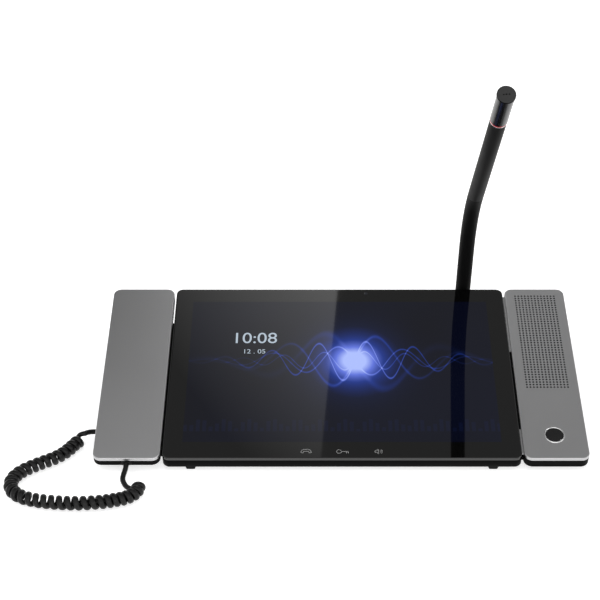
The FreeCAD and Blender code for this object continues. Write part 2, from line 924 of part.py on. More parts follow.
def wing_cover():
    low = -cover_skirt
    cover = plate(inner_side, outer_side, 0, body_depth, low, 0, corner_radius)
    cover = cover.makeFillet(shell_edge_radius, edges_at(cover, 0))
    hollow = plate(inner_side + shell_wall, outer_side - shell_wall, shell_wall, body_depth - shell_wall,
                   low - 1, -shell_wall, corner_radius - shell_wall)
    cover = cover.cut(hollow)
    flange = plate(inner_side, inner_side + shell_wall, flange_end, body_depth - flange_end,
                   -flange_depth, low)
    flange = flange.cut(plate(inner_side - 1, inner_side + shell_wall + 1, wing_neck_front - notch_clearance,
                              wing_neck_back + notch_clearance, -flange_depth - 1, low))
    cover = cover.fuse(flange)
    cover = cover.cut(rod(wing_centre, key_back, -5, 5, ring_radius + fit_clearance))
    panel, window = grille_panel()
    return cover.cut(window).fuse(panel)


def wing_base():
    low = -tablet_thickness
    top = -cover_skirt
    base = plate(inner_side, outer_side, 0, body_depth, low, top, corner_radius)
    base = base.makeChamfer(lower_edge_bevel, edges_at(base, low))
    step = shell_wall + lip_clearance
    strip = plate(inner_side - 1, inner_side + step, flange_end - lip_clearance,
                  body_depth - flange_end + lip_clearance, low - 1, 1)
    lip = plate(inner_side + step, outer_side - step, step, body_depth - step, top,
                -shell_wall - lip_clearance, corner_radius - step)
    base = base.cut(strip).fuse(lip)
    inset = step + lip_thickness
    hollow = plate(inner_side + inset, outer_side - inset, inset, body_depth - inset, low + base_floor, 0,
                   corner_radius - inset)
    base = base.cut(hollow)
    neck = plate(half_tablet, inner_side + inset, wing_neck_front, wing_neck_back, low + lower_edge_bevel,
                 -wing_neck_top)
    web = plate(half_tablet, inner_side + inset, flange_end, body_depth - flange_end, low,
                -flange_depth - flange_clearance)
    base = join([base, neck, web])
    floor = low + base_floor
    for u, v in bracket_screw_places()[2:]:
        base = base.fuse(rod(u, v, floor, floor + bracket_post_height, bracket_post_radius))
        base = base.cut(rod(u, v, low - 1, low + bracket_screw_bite + screw_hole_clearance,
                            screw_radius + screw_hole_clearance))
    return base


def wing_bracket():
    low = -tablet_thickness - bracket_thickness
    bracket = plate(bracket_side, bracket_side + bracket_width, bracket_front, bracket_front + bracket_length,
                    low, -tablet_thickness, bracket_corner)
    for u, v in bracket_screw_places():
        bracket = bracket.cut(rod(u, v, low - 1, 0, screw_radius + screw_hole_clearance))
    return bracket


def wing_screws():
    head_low = -tablet_thickness - bracket_thickness - screw_head_height
    grip = bracket_thickness + bracket_screw_bite
    return [screw(u, v, head_low, screw_head_height, grip) for u, v in bracket_screw_places()]


def speaker_middle():
    return grille_front + (hole_rows - 1) / 2 * hole_pitch


def dust_mesh():
    half_width = hole_columns / 2 * hole_pitch + 1
    half_length = hole_rows / 2 * hole_pitch + 1
    middle = speaker_middle()
    return plate(wing_centre - half_width, wing_centre + half_width,
                 middle - half_length, middle + half_length, -shell_wall - mesh_thickness, -shell_wall)


def speaker_gasket():
    top = -shell_wall - mesh_thickness
    middle = speaker_middle()
    ring = oval(wing_centre, middle, speaker_width, speaker_length, top - gasket_thickness, top)
    return ring.cut(oval(wing_centre, middle, speaker_width - 2 * gasket_width,
                         speaker_length - 2 * gasket_width, top - gasket_thickness - 1, top + 1))


def speaker_driver():
    """Oval loudspeaker: flange, dished cone and magnet cup."""
    top = -shell_wall - mesh_thickness - gasket_thickness
    bottom = -tablet_thickness + base_floor
    middle = speaker_middle()
    seat = top - speaker_flange
    basket_low = seat - speaker_basket_depth
    flange = oval(wing_centre, middle, speaker_width, speaker_length, seat, top)
    basket = oval(wing_centre, middle, speaker_width - 2 * speaker_rim, speaker_length - 2 * speaker_rim,
                  basket_low, seat)
    magnet = rod(wing_centre, middle, bottom, basket_low, magnet_cup_radius)
    driver = join([flange, basket, magnet])
    dish = oval(wing_centre, middle, speaker_width - 3 * speaker_rim, speaker_length - 3 * speaker_rim,
                seat, top + 1)
    dome = rod(wing_centre, middle, seat, seat + speaker_dome_height, speaker_dome_radius)
    return driver.cut(dish).fuse(dome)


def key_ring():
    """Bright ring round the key, held from below by its flange."""
    low = -shell_wall - ring_flange_thickness
    ring = rod(wing_centre, key_back, low, ring_proud, ring_radius)
    ring = ring.makeChamfer(ring_bevel, edges_at(ring, ring_proud))
    flange = rod(wing_centre, key_back, low, -shell_wall, ring_radius + ring_flange)
    return ring.fuse(flange).cut(rod(wing_centre, key_back, low - 1, 2, ring_inner_radius))


def key_levels():
    """Underside of the ring, and top and underside of the key's flange."""
    ring_low = -shell_wall - ring_flange_thickness
    flange_top = ring_low - 2 * fit_clearance
    return ring_low, flange_top, flange_top - key_flange_thickness


def call_key():
    ring_low, flange_top, flange_low = key_levels()
    cap = rod(wing_centre, key_back, flange_top, key_proud, key_radius)
    cap = cap.makeChamfer(key_bevel, edges_at(cap, key_proud))
    flange = rod(wing_centre, key_back, flange_low, flange_top, key_flange_radius)
    stem = rod(wing_centre, key_back, switch_top() - key_stem_depth, flange_low, key_stem_radius)
    return join([cap, flange, stem])


def switch_top():
    return -tablet_thickness + base_floor + switch_height


def key_switch():
    low = -tablet_thickness + base_floor
    half = switch_size / 2
    top = switch_top()
    body = plate(wing_centre - half, wing_centre + half, key_back - half, key_back + half, low, top, 0.6)
    well_low = top - key_stem_depth - key_travel - key_stop_gap
    return body.cut(rod(wing_centre, key_back, well_low, top + 1, key_stem_radius + key_stem_clearance))


# Gooseneck microphone

def joint_places():
    """Where each joint of the gooseneck holds what it carries, one step of lean more at each."""
    centre = Vector(mic_side, mic_back, first_joint_height)
    sideways = Rotation(Vector(0, 0, 1), bend_turn)
    places = []
    for index in range(link_count + 1):
        turn = sideways.multiply(Rotation(Vector(1, 0, 0), link_angle * (index + 1)))
        places.append(Placement(centre, turn))
        centre = centre + turn.multVec(Vector(0, 0, link_pitch))
    return places


def leaning(shape, index):
    """A shape drawn upright about a joint centre, moved to where that joint holds it."""
    moved = shape.copy()
    moved.Placement = joint_places()[index].multiply(moved.Placement)
    return moved


def bends_sideways(index):
    """Joints take turns: the first bends forwards and back, the next to the sides."""
    return index % 2 == 1


def crossways(size_x, size_y, index):
    """Sizes of a block for this joint, given those for a joint that bends forwards and back."""
    if bends_sideways(index):
        return size_y, size_x
    return size_x, size_y


def barrel(index, radius, length):
    """Bearing barrel about the joint's own axis, centred on it."""
    if bends_sideways(index):
        return Part.makeCylinder(radius, length, Vector(0, -length / 2, 0), Vector(0, 1, 0))
    return Part.makeCylinder(radius, length, Vector(-length / 2, 0, 0), Vector(1, 0, 0))


def knuckle(index):
    """Barrel and neck under the piece that the joint carries."""
    width, depth = crossways(neck_length, neck_width, index)
    neck = plate(-width / 2, width / 2, -depth / 2, depth / 2, 0, socket_lip + link_gap)
    return barrel(index, barrel_radius, barrel_length).fuse(neck)


def with_seat(shape, index):
    """Cut the seat of a joint's barrel in the placed piece below it."""
    seat = barrel(index, barrel_radius + barrel_clearance, barrel_length + 4 * barrel_clearance)
    return shape.cut(leaning(seat, index))


def flex_link(index):
    """Link that joint index carries, with its knuckle below and the next joint's seat above."""
    low = socket_lip + link_gap
    body = Part.makeCylinder(sleeve_radius, link_pitch + socket_lip - low, Vector(0, 0, low))
    return with_seat(leaning(join([body, knuckle(index)]), index), index + 1)


def stem_sleeve():
    """Lower end of the gooseneck, from the lock nut to the first joint."""
    low = -boss_top + nut_height
    body = rod(mic_side, mic_back, low, first_joint_height + socket_lip, sleeve_radius)
    return with_seat(body, 0)


def stem_ferrule():
    low = -boss_top - bush_length + 1
    return rod(mic_side, mic_back, low, -boss_top + nut_height, ferrule_radius)


def mic_bush():
    low = -boss_top - bush_length
    bush = rod(mic_side, mic_back, low, -boss_top, bush_radius)
    return bush.cut(rod(mic_side, mic_back, low + 1, 0, ferrule_radius + fit_clearance))


def lock_nut():
    """Six-sided nut that holds the gooseneck in its bush."""
    nut = hexagon(mic_side, mic_back, -boss_top, -boss_top + nut_height, nut_radius)
    return nut.cut(rod(mic_side, mic_back, -boss_top - 1, 0, ferrule_radius + fit_clearance))


def head_levels():
    """Heights along the upper stem: its end, the trim, the status ring and the underside of the cap."""
    cap_low = stem_length - cap_thickness
    ring_low = stem_length - head_length
    return ring_low - trim_height, ring_low, ring_low + status_height, cap_low


def upper_stem():
    stem_end, ring_low, head_low, cap_low = head_levels()
    low = socket_lip + link_gap
    body = Part.makeCylinder(stem_radius, stem_end - low, Vector(0, 0, low))
    return join([body, knuckle(link_count)])


def ring_trim():
    stem_end, ring_low, head_low, cap_low = head_levels()
    return Part.makeCylinder(ring_band_radius, ring_low - stem_end, Vector(0, 0, stem_end))


def status_ring():
    stem_end, ring_low, head_low, cap_low = head_levels()
    return Part.makeCylinder(ring_band_radius, head_low - ring_low, Vector(0, 0, ring_low))


def mic_head():
    stem_end, ring_low, head_low, cap_low = head_levels()
    tube = Part.makeCylinder(head_radius, cap_low - head_low, Vector(0, 0, head_low))
    depth = capsule_height + head_cavity
    return tube.cut(Part.makeCylinder(head_radius - head_wall, depth, Vector(0, 0, cap_low - depth)))


def mic_capsule():
    cap_low = head_levels()[3]
    return Part.makeCylinder(capsule_radius, capsule_height, Vector(0, 0, cap_low - capsule_height))


def mic_cap():
    cap_low = head_levels()[3]
    cap = Part.makeCylinder(cap_radius, cap_thickness, Vector(0, 0, cap_low))
    cap = cap.makeChamfer(cap_bevel, edges_at(cap, stem_length))
    for index in (-1, 0, 1):
        low = Vector(index * cap_hole_pitch, 0, cap_low - 1)
        cap = cap.cut(Part.makeCylinder(cap_hole_radius, cap_thickness + 2, low))
    return cap


# Curly cord, in desk coordinates

def slab_point(u, v, w):
    """Desk coordinates of a point given in slab coordinates."""
    return Vector(u, v * cosine - w * sine, slab_height + v * sine + w * cosine)


wire_level = wire_diameter / 2 + desk_clearance
curl_radius = (curl_diameter - wire_diameter) / 2
curl_level = wire_level + curl_radius

# Middle line of the curls on the desk, from the base's end to the handset's end
curl_route = [(-179.3, 31.0), (-182.4, 27.6), (-186.6, 18.6), (-193.0, 10.3), (-206.0, 2.4), (-216.0, -5.2),
              (-221.3, -13.8), (-220.2, -23.5), (-213.5, -31.0), (-202.0, -35.4), (-189.0, -37.6),
              (-174.0, -38.6), (-158.5, -37.0), (-148.3, -34.6), (-142.3, -32.6), (-137.8, -29.1),
              (-135.4, -24.2), (-135.3, -20.6)]

# Corners of the leads that lie between what each one leaves and what it meets
handset_lead_route = [(-147.4, -10.4, 2.6), (-146.6, -15.2, wire_level)]
handset_lead_start = 4.5
handset_lead_end = 4.9
base_lead_bend = -174.2

# Shares of a lead's end run and of a run between two corners that one corner's arc may take
end_share = 0.9
middle_share = 0.45


def wire_ring(centre, along):
    """Six-sided section of the wire, square to along."""
    side = along.cross(Vector(0, 0, 1)).normalize()
    up = side.cross(along)
    angles = [math.radians(60 * index + 30) for index in range(7)]
    reach = wire_diameter / 2
    corners = [centre + (side * math.cos(angle) + up * math.sin(angle)) * reach for angle in angles]
    return Part.makePolygon(corners)


def wire_tube(name, edges, start, along):
    """Sweep the wire's section along joined edges, and print how its volume fits its length."""
    path = Part.Wire(edges)
    ring = wire_ring(start, along)
    tube = path.makePipeShell([ring], True, False)
    expected = Part.Face(ring).Area * path.Length
    print(name, "length", round(path.Length, 1), "volume over section times length",
          round(tube.Volume / expected, 4))
    return tube, path


def corner_arc(start, corner, end):
    """Arc that is tangent to start-corner at start and to corner-end at end."""
    middle = (start + end) * 0.5
    cosine_half = (middle - start).Length / (corner - start).Length
    return Part.Arc(start, middle + (corner - middle) * (cosine_half / (1 + cosine_half)), end).toShape()


def lead_tube(name, points):
    """Tube along straight runs joined by tangent arcs, each as large as its two runs allow."""
    edges = []
    radii = []
    start = points[0]
    for index in range(1, len(points) - 1):
        before, corner, after = points[index - 1:index + 2]
        arriving = (corner - before).normalize()
        leaving = (after - corner).normalize()
        turn = arriving.getAngle(leaving)
        share_before = end_share if index == 1 else middle_share
        share_after = end_share if index == len(points) - 2 else middle_share
        reach = min(share_before * (corner - before).Length, share_after * (after - corner).Length)
        radii.append(reach / math.tan(turn / 2))
        first = corner - arriving * reach
        last = corner + leaving * reach
        edges.append(Part.LineSegment(start, first).toShape())
        edges.append(corner_arc(first, corner, last))
        start = last
    edges.append(Part.LineSegment(start, points[-1]).toShape())
    print(name, "radii", [round(radius, 1) for radius in radii])
    tube, path = wire_tube(name, edges, points[0], (points[1] - points[0]).normalize())
    return tube


def curl_middle_line():
    line = Part.BSplineCurve()
    line.buildFromPoles([Vector(x, y, curl_level) for x, y in curl_route], False, 2)
    return line


def curl_phase(along, length):
    """Angle of the wire round the middle line: steady, and still over the unwound end at the base."""
    steady = 2 * math.pi * curl_turns / (length - unwind_length / 2)
    if along >= unwind_length:
        turned = unwind_length / 2 + along - unwind_length
    else:
        turned = along ** 2 / unwind_length / 2
    return math.pi / 2 + steady * turned


def curl_point(line, length, along):
    along = min(max(along, 0.0), length)
    parameter = line.parameterAtDistance(along, line.FirstParameter)
    ahead = line.tangent(parameter)[0].normalize()
    aside = ahead.cross(Vector(0, 0, 1))
    angle = curl_phase(along, length)
    outward = aside * -math.cos(angle) + Vector(0, 0, 1) * math.sin(angle)
    return line.value(parameter) + outward * curl_radius


def curl_tangent(line, length, along):
    step = 0.01
    return (curl_point(line, length, along + step) - curl_point(line, length, along - step)).normalize()


def curl_stops(length):
    """Distances along the middle line at which the wire has made whole half turns."""
    steady = 2 * math.pi * curl_turns / (length - unwind_length / 2)
    stops = [0.0]
    half_turns = 1
    while True:
        turned = half_turns * math.pi / steady
        if turned < unwind_length / 2:
            along = math.sqrt(2 * turned * unwind_length)
        else:
            along = turned + unwind_length / 2
        if along > length - 0.001:
            break
        stops.append(along)
        half_turns += 1
    stops.append(length)
    return stops


def biarc(first, first_tangent, last, last_tangent):
    """Two arcs that leave first and reach last with the given tangents."""
    across = last - first
    both = first_tangent + last_tangent
    bend = 2 * (1 - first_tangent.dot(last_tangent))
    dot = across.dot(both)
    reach = (-dot + math.sqrt(dot * dot + bend * across.dot(across))) / bend
    corner_one = first + first_tangent * reach
    corner_two = last - last_tangent * reach
    middle = (corner_one + corner_two) * 0.5
    return [corner_arc(first, corner_one, middle), corner_arc(middle, corner_two, last)]


def base_lead_end():
    """Last corner of the base lead, straight out from the plug, and the middle of the plug's face."""
    middle_v, middle_w = jack_centre()
    plug_face = slab_point(-jack_left - plug_proud, middle_v, middle_w)
    return Vector(base_lead_bend, plug_face.y, plug_face.z), plug_face


def curl_ends(line, length):
    """First and last point of the turns, and the directions of the straight ends that start there."""
    start = curl_point(line, length, 0)
    corner, plug_face = base_lead_end()
    start_tangent = (start - corner).normalize()
    end = curl_point(line, length, length)
    end_tangent = (end - curl_point(line, length, length - 0.01)).normalize()
    end_tangent = Vector(end_tangent.x, end_tangent.y, 0).normalize()
    return start, start_tangent, end, end_tangent


def cord_curls():
    line = curl_middle_line()
    length = line.length()
    start, start_tangent, end, end_tangent = curl_ends(line, length)
    stops = curl_stops(length)
    points = [curl_point(line, length, stop) for stop in stops]
    tangents = [start_tangent] + [curl_tangent(line, length, stop) for stop in stops[1:-1]] + [end_tangent]
    outer_start = start - start_tangent * wire_diameter
    edges = [Part.LineSegment(outer_start, start).toShape()]
    for index in range(len(stops) - 1):
        edges += biarc(points[index], tangents[index], points[index + 1], tangents[index + 1])
    edges.append(Part.LineSegment(end, end + end_tangent * wire_diameter).toShape())
    curls, path = wire_tube("cord_curls", edges, outer_start, start_tangent)
    report_curls(path, length)
    return curls


def report_curls(path, length):
    """Print the pitch and the least gap between neighbouring turns."""
    samples = path.discretize(Number=2400)
    spacing = path.Length / 2399
    turn_length = path.Length / curl_turns
    skip = int(turn_length * 0.5 / spacing)
    reach = int(turn_length * 1.5 / spacing)
    least = min((samples[i] - samples[j]).Length for i in range(len(samples))
                for j in range(i + skip, min(i + reach, len(samples)), 2))
    print("cord_curls middle line", round(length, 1), "pitch", round(length / curl_turns, 2),
          "least gap", round(least - wire_diameter, 2))


def handset_lead():
    exit_point = slab_point(handset_middle, -gland_proud, -gland_centre)
    first_corner = slab_point(handset_middle, -gland_proud - handset_lead_start, -gland_centre)
    line = curl_middle_line()
    start, start_tangent, end, end_tangent = curl_ends(line, line.length())
    join_point = end + end_tangent * wire_diameter
    last_corner = join_point + end_tangent * handset_lead_end
    middle = [Vector(x, y, z) for x, y, z in handset_lead_route]
    return lead_tube("handset_lead", [exit_point, first_corner] + middle + [last_corner, join_point])


def base_lead():
    line = curl_middle_line()
    start, start_tangent, end, end_tangent = curl_ends(line, line.length())
    join_point = start - start_tangent * wire_diameter
    corner, plug_face = base_lead_end()
    return lead_tube("base_lead", [join_point, corner, plug_face])


slab_nodes = {
    "front_glass": front_glass, "front_frame": front_frame, "lcd_panel": lcd_panel,
    "touch_key_board": touch_key_board, "camera_module": camera_module, "housing_screws": housing_screws,
    "handset_top_shell": handset_top_shell, "handset_lower_shell": handset_lower_shell,
    "handset_screws": handset_screws, "receiver_capsule": receiver_capsule,
    "handset_microphone": handset_microphone, "handset_magnet": handset_magnet,
    "handset_gland": handset_gland,
    "handset_cradle": handset_cradle, "cradle_screws": cradle_screws, "seat_pads": seat_pads,
    "hook_sensor": hook_sensor, "cord_jack": cord_jack, "cord_plug": cord_plug, "wing_cover": wing_cover,
    "wing_base": wing_base, "wing_bracket": wing_bracket, "wing_screws": wing_screws, "dust_mesh": dust_mesh,
    "speaker_gasket": speaker_gasket, "speaker_driver": speaker_driver, "key_ring": key_ring,
    "call_key": call_key, "key_switch": key_switch, "stem_sleeve": stem_sleeve, "stem_ferrule": stem_ferrule,
    "mic_bush": mic_bush, "lock_nut": lock_nut,
}
stem_nodes = {
    "upper_stem": upper_stem, "ring_trim": ring_trim, "status_ring": status_ring, "mic_head": mic_head,
    "mic_capsule": mic_capsule, "mic_cap": mic_cap,
}
desk_nodes = {
    "rear_housing": rear_housing, "main_board": main_board, "board_screws": board_screws,
    "lan_socket": lan_socket, "power_socket": power_socket, "terminal_block": terminal_block,
    "front_feet": front_feet, "rear_feet": rear_feet,
}
cord_nodes = {
    "cord_curls": cord_curls, "handset_lead": handset_lead, "base_lead": base_lead,
}


def main():
    shapes = {}
    for name, make in slab_nodes.items():
        shapes[name] = to_desk(whole(make()))
    for index in range(link_count):
        shapes["gooseneck_link_" + str(index + 1)] = to_desk(flex_link(index))
    for name, make in stem_nodes.items():
        shapes[name] = to_desk(leaning(make(), link_count))
    for name, make in desk_nodes.items():
        shapes[name] = whole(make())
    body_box = FreeCAD.BoundBox()
    for shape in shapes.values():
        body_box.add(shape.optimalBoundingBox(False, False))
    for name, make in cord_nodes.items():
        shapes[name] = make()
    shift = Vector(-body_box.Center.x, -body_box.Center.y, 0)
    print("moved by", round(shift.x, 3), round(shift.y, 3), "size without the cord", round(body_box.XLength, 2),
          round(body_box.YLength, 2), round(body_box.ZMax, 2), "lowest", round(body_box.ZMin, 3))
    os.makedirs("parts", exist_ok=True)
    for name, shape in shapes.items():
        save(name, shape, shift)


main()
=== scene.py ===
"""Looks of the desk intercom master station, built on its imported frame.

Lengths are in metres unless a comment says millimetres. Pieces on the tilted slab are drawn in slab
coordinates, u to the right, v from the front edge to the back and w square to the glass, and are then
moved to the frame.
"""

import bmesh
import bpy
import json
import math

from mathutils import Matrix, Vector
from mathutils.geometry import tessellate_polygon


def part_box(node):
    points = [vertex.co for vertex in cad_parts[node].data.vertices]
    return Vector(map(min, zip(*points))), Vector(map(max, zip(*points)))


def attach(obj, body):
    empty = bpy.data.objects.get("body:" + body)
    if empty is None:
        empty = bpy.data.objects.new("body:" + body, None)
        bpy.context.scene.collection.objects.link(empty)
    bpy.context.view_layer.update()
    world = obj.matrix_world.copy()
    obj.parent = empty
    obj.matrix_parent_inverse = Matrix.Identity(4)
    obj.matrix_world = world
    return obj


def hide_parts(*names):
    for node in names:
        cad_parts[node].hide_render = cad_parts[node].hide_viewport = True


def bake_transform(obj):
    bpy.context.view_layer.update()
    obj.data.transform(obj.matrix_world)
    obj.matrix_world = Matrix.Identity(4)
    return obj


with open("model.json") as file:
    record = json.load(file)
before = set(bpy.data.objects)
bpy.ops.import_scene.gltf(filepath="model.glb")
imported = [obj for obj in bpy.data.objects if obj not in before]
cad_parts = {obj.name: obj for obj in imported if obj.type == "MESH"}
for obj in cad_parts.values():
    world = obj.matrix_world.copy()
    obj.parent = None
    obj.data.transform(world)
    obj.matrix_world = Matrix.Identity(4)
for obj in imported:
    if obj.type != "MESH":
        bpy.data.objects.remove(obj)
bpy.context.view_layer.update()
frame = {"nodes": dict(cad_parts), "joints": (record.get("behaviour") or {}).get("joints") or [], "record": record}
nodes = frame["nodes"]
joints = {joint["name"]: joint for joint in frame["joints"]}

MM = 0.001
UP = Vector((0, 0, 1))
TILT = math.radians(12)
HOUSING_FRONT = 18 * MM
FRONT_EDGE_HEIGHT = 3.1 * MM
TABLET_THICKNESS = 8.9 * MM

housing_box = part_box("rear_housing")
slab_origin = Vector(((housing_box[0].x + housing_box[1].x) / 2, housing_box[0].y - HOUSING_FRONT,
                      FRONT_EDGE_HEIGHT + TABLET_THICKNESS * math.cos(TILT)))
slab = Matrix.Translation(slab_origin) @ Matrix.Rotation(TILT, 4, "X")

BODY_DEPTH = 163.5 * MM
HALF_TABLET = 121.5 * MM
SIDE_GAP = 1.5 * MM
WING_WIDTH = 44.2 * MM
HANDSET_WIDTH = 45.4 * MM
TABLET_CORNER = 4.8 * MM
COVER_CORNER = 5.5 * MM
TABLET_BOUNDS = (-HALF_TABLET, HALF_TABLET, 0, BODY_DEPTH)
INNER_SIDE = HALF_TABLET + SIDE_GAP
WING_SIDE = INNER_SIDE + WING_WIDTH
WING_CENTRE = (INNER_SIDE + WING_SIDE) / 2
HANDSET_SIDE = -INNER_SIDE - HANDSET_WIDTH
HANDSET_CENTRE = (HANDSET_SIDE - INNER_SIDE) / 2


# Mesh helpers

CORNER_STEPS = 10
LEAST_CORNER = 0.2 * MM
ROLL_STEPS = 8
ROLL_RUN = 0.3 * MM
RING_EDGE_STEPS = 4
SMOOTH_ANGLE = math.radians(40)


def arc(u, v, radius, start, end, steps):
    """Points round a centre, between two directions in degrees."""
    angles = [math.radians(start + (end - start) * step / steps) for step in range(steps + 1)]
    return [(u + radius * math.cos(angle), v + radius * math.sin(angle)) for angle in angles]


def circle(u, v, radius, steps):
    return arc(u, v, radius, 0, 360, steps)[:-1]


def rectangle(u_min, u_max, v_min, v_max):
    return [(u_min, v_min), (u_max, v_min), (u_max, v_max), (u_min, v_max)]


def rounded_rectangle(u_min, u_max, v_min, v_max, radius):
    """Outline with round corners, counter-clockwise from the right front corner."""
    corners = [(u_max - radius, v_min + radius, -90), (u_max - radius, v_max - radius, 0),
               (u_min + radius, v_max - radius, 90), (u_min + radius, v_min + radius, 180)]
    points = []
    for u, v, start in corners:
        points += arc(u, v, radius, start, start + 90, CORNER_STEPS)
    return points


def millimetres(profile):
    """Profile in metres from one in millimetres."""
    return [(radius * MM, height * MM) for radius, height in profile]


def rolled(radius):
    """Profile of a rolled upper edge that ends a little way in on the flat top."""
    return arc(radius, -radius, radius, 180, 90, ROLL_STEPS) + [(radius + ROLL_RUN, 0)]


def ring_profile(inner, outer, low, high, edge):
    """Closed profile of a ring with rounded upper edges."""
    return ([(inner, low), (outer, low)] + arc(outer - edge, high - edge, edge, 0, 90, RING_EDGE_STEPS)
            + arc(inner + edge, high - edge, edge, 90, 180, RING_EDGE_STEPS) + [(inner, low)])


def add_loop(mesh, outline, w):
    return [mesh.verts.new((u, v, w)) for u, v in outline]


def bridge(mesh, lower, upper, material=0):
    """Quads between two closed loops of equal length."""
    for i in range(len(lower)):
        j = (i + 1) % len(lower)
        face = mesh.faces.new((lower[i], lower[j], upper[j], upper[i]))
        face.material_index = material


def fill(mesh, outer, holes=(), up=True):
    """Flat faces between an outer loop and holes in it."""
    loops = [outer, *holes]
    verts = [vert for loop in loops for vert in loop]
    for triangle in tessellate_polygon([[vert.co for vert in loop] for loop in loops]):
        corners = [verts[i] for i in triangle]
        normal = (corners[1].co - corners[0].co).cross(corners[2].co - corners[0].co)
        if (normal.z > 0) != up:
            corners.reverse()
        mesh.faces.new(corners)


def add_plate(mesh, outline, low, high):
    """Closed flat plate between two heights."""
    foot = add_loop(mesh, outline, low)
    top = add_loop(mesh, outline, high)
    bridge(mesh, foot, top)
    fill(mesh, foot, up=False)
    fill(mesh, top)


def slab_loops(mesh, bounds, radius, profile):
    """Loops of a plate with round corners; profile lists (inset, w) from the bottom up."""
    u_min, u_max, v_min, v_max = bounds
    loops = []
    for inset, w in profile:
        outline = rounded_rectangle(u_min + inset, u_max - inset, v_min + inset, v_max - inset,
                                    max(radius - inset, LEAST_CORNER))
        loops.append(add_loop(mesh, outline, w))
    for lower, upper in zip(loops, loops[1:]):
        bridge(mesh, lower, upper)
    return loops


def lathe(profile, steps=64):
    """Turned solid about local Z from (radius, height) pairs."""
    mesh = bmesh.new()
    previous = None
    for radius, height in profile:
        if radius == 0:
            loop = [mesh.verts.new((0, 0, height))]
        else:
            loop = add_loop(mesh, circle(0, 0, radius, steps), height)
        if previous and len(previous) == len(loop):
            bridge(mesh, previous, loop)
        elif previous:
            tip, ring = (previous[0], loop) if len(previous) == 1 else (loop[0], previous)
            for i in range(len(ring)):
                mesh.faces.new((tip, ring[i], ring[(i + 1) % len(ring)]))
        previous = loop
    return mesh


def tube(path, sides, sizes, steps, closed):
    """Tube along a path, with a width towards the given side and a thickness at each point.

    The ends in closed get a face: 0 is the first end and -1 the last.
    """
    mesh = bmesh.new()
    rings = []
    for i, point in enumerate(path):
        along = (path[min(i + 1, len(path) - 1)] - path[max(i - 1, 0)]).normalized()
        side = (sides[i] - along * sides[i].dot(along)).normalized()
        other = along.cross(side)
        width, thickness = sizes[i]
        ring = []
        for step in range(steps):
            angle = 2 * math.pi * step / steps
            offset = (side * math.cos(angle) * width + other * math.sin(angle) * thickness) / 2
            ring.append(mesh.verts.new(point + offset))
        rings.append(ring)
    for lower, upper in zip(rings, rings[1:]):
        bridge(mesh, lower, upper)
    for end in closed:
        mesh.faces.new(rings[end])
    return mesh


def evaluated_mesh(curve):
    """Mesh that Blender makes of a curve or text."""
    holder = bpy.data.objects.new("holder", curve)
    bpy.context.collection.objects.link(holder)
    bpy.context.view_layer.update()
    data = bpy.data.meshes.new_from_object(holder.evaluated_get(bpy.context.evaluated_depsgraph_get()))
    bpy.data.objects.remove(holder)
    return data


def mesh_object(name, mesh, finishes):
    """Object that holds a bmesh, which is freed."""
    data = bpy.data.meshes.new(name)
    mesh.to_mesh(data)
    mesh.free()
    for finish in finishes:
        data.materials.append(finish)
    made = bpy.data.objects.new(name, data)
    bpy.context.collection.objects.link(made)
    return made


def make_piece(name, mesh, finishes, body, place=slab, replaced=()):
    """Turn a bmesh into a piece of the object that rides on a body."""
    bmesh.ops.recalc_face_normals(mesh, faces=mesh.faces)
    piece = mesh_object(name, mesh, finishes)
    piece.data.transform(place)
    for polygon in piece.data.polygons:
        polygon.use_smooth = True
    piece.data.set_sharp_from_angle(angle=SMOOTH_ANGLE)
    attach(piece, body)
    if replaced:
        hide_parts(*replaced)
    return piece


# Material helpers

# Places of the colour sockets on the Mix node, which has a set of them for each kind of value
MIX_FIRST = 6
MIX_SECOND = 7
MIX_RESULT = 2

FINE_GRAIN = 4000
GRAIN_DEPTH = 0.05 * MM
BROAD_SCALE = 45
BROAD_DETAIL = 4.0
ROUGHNESS_SWING = 0.15


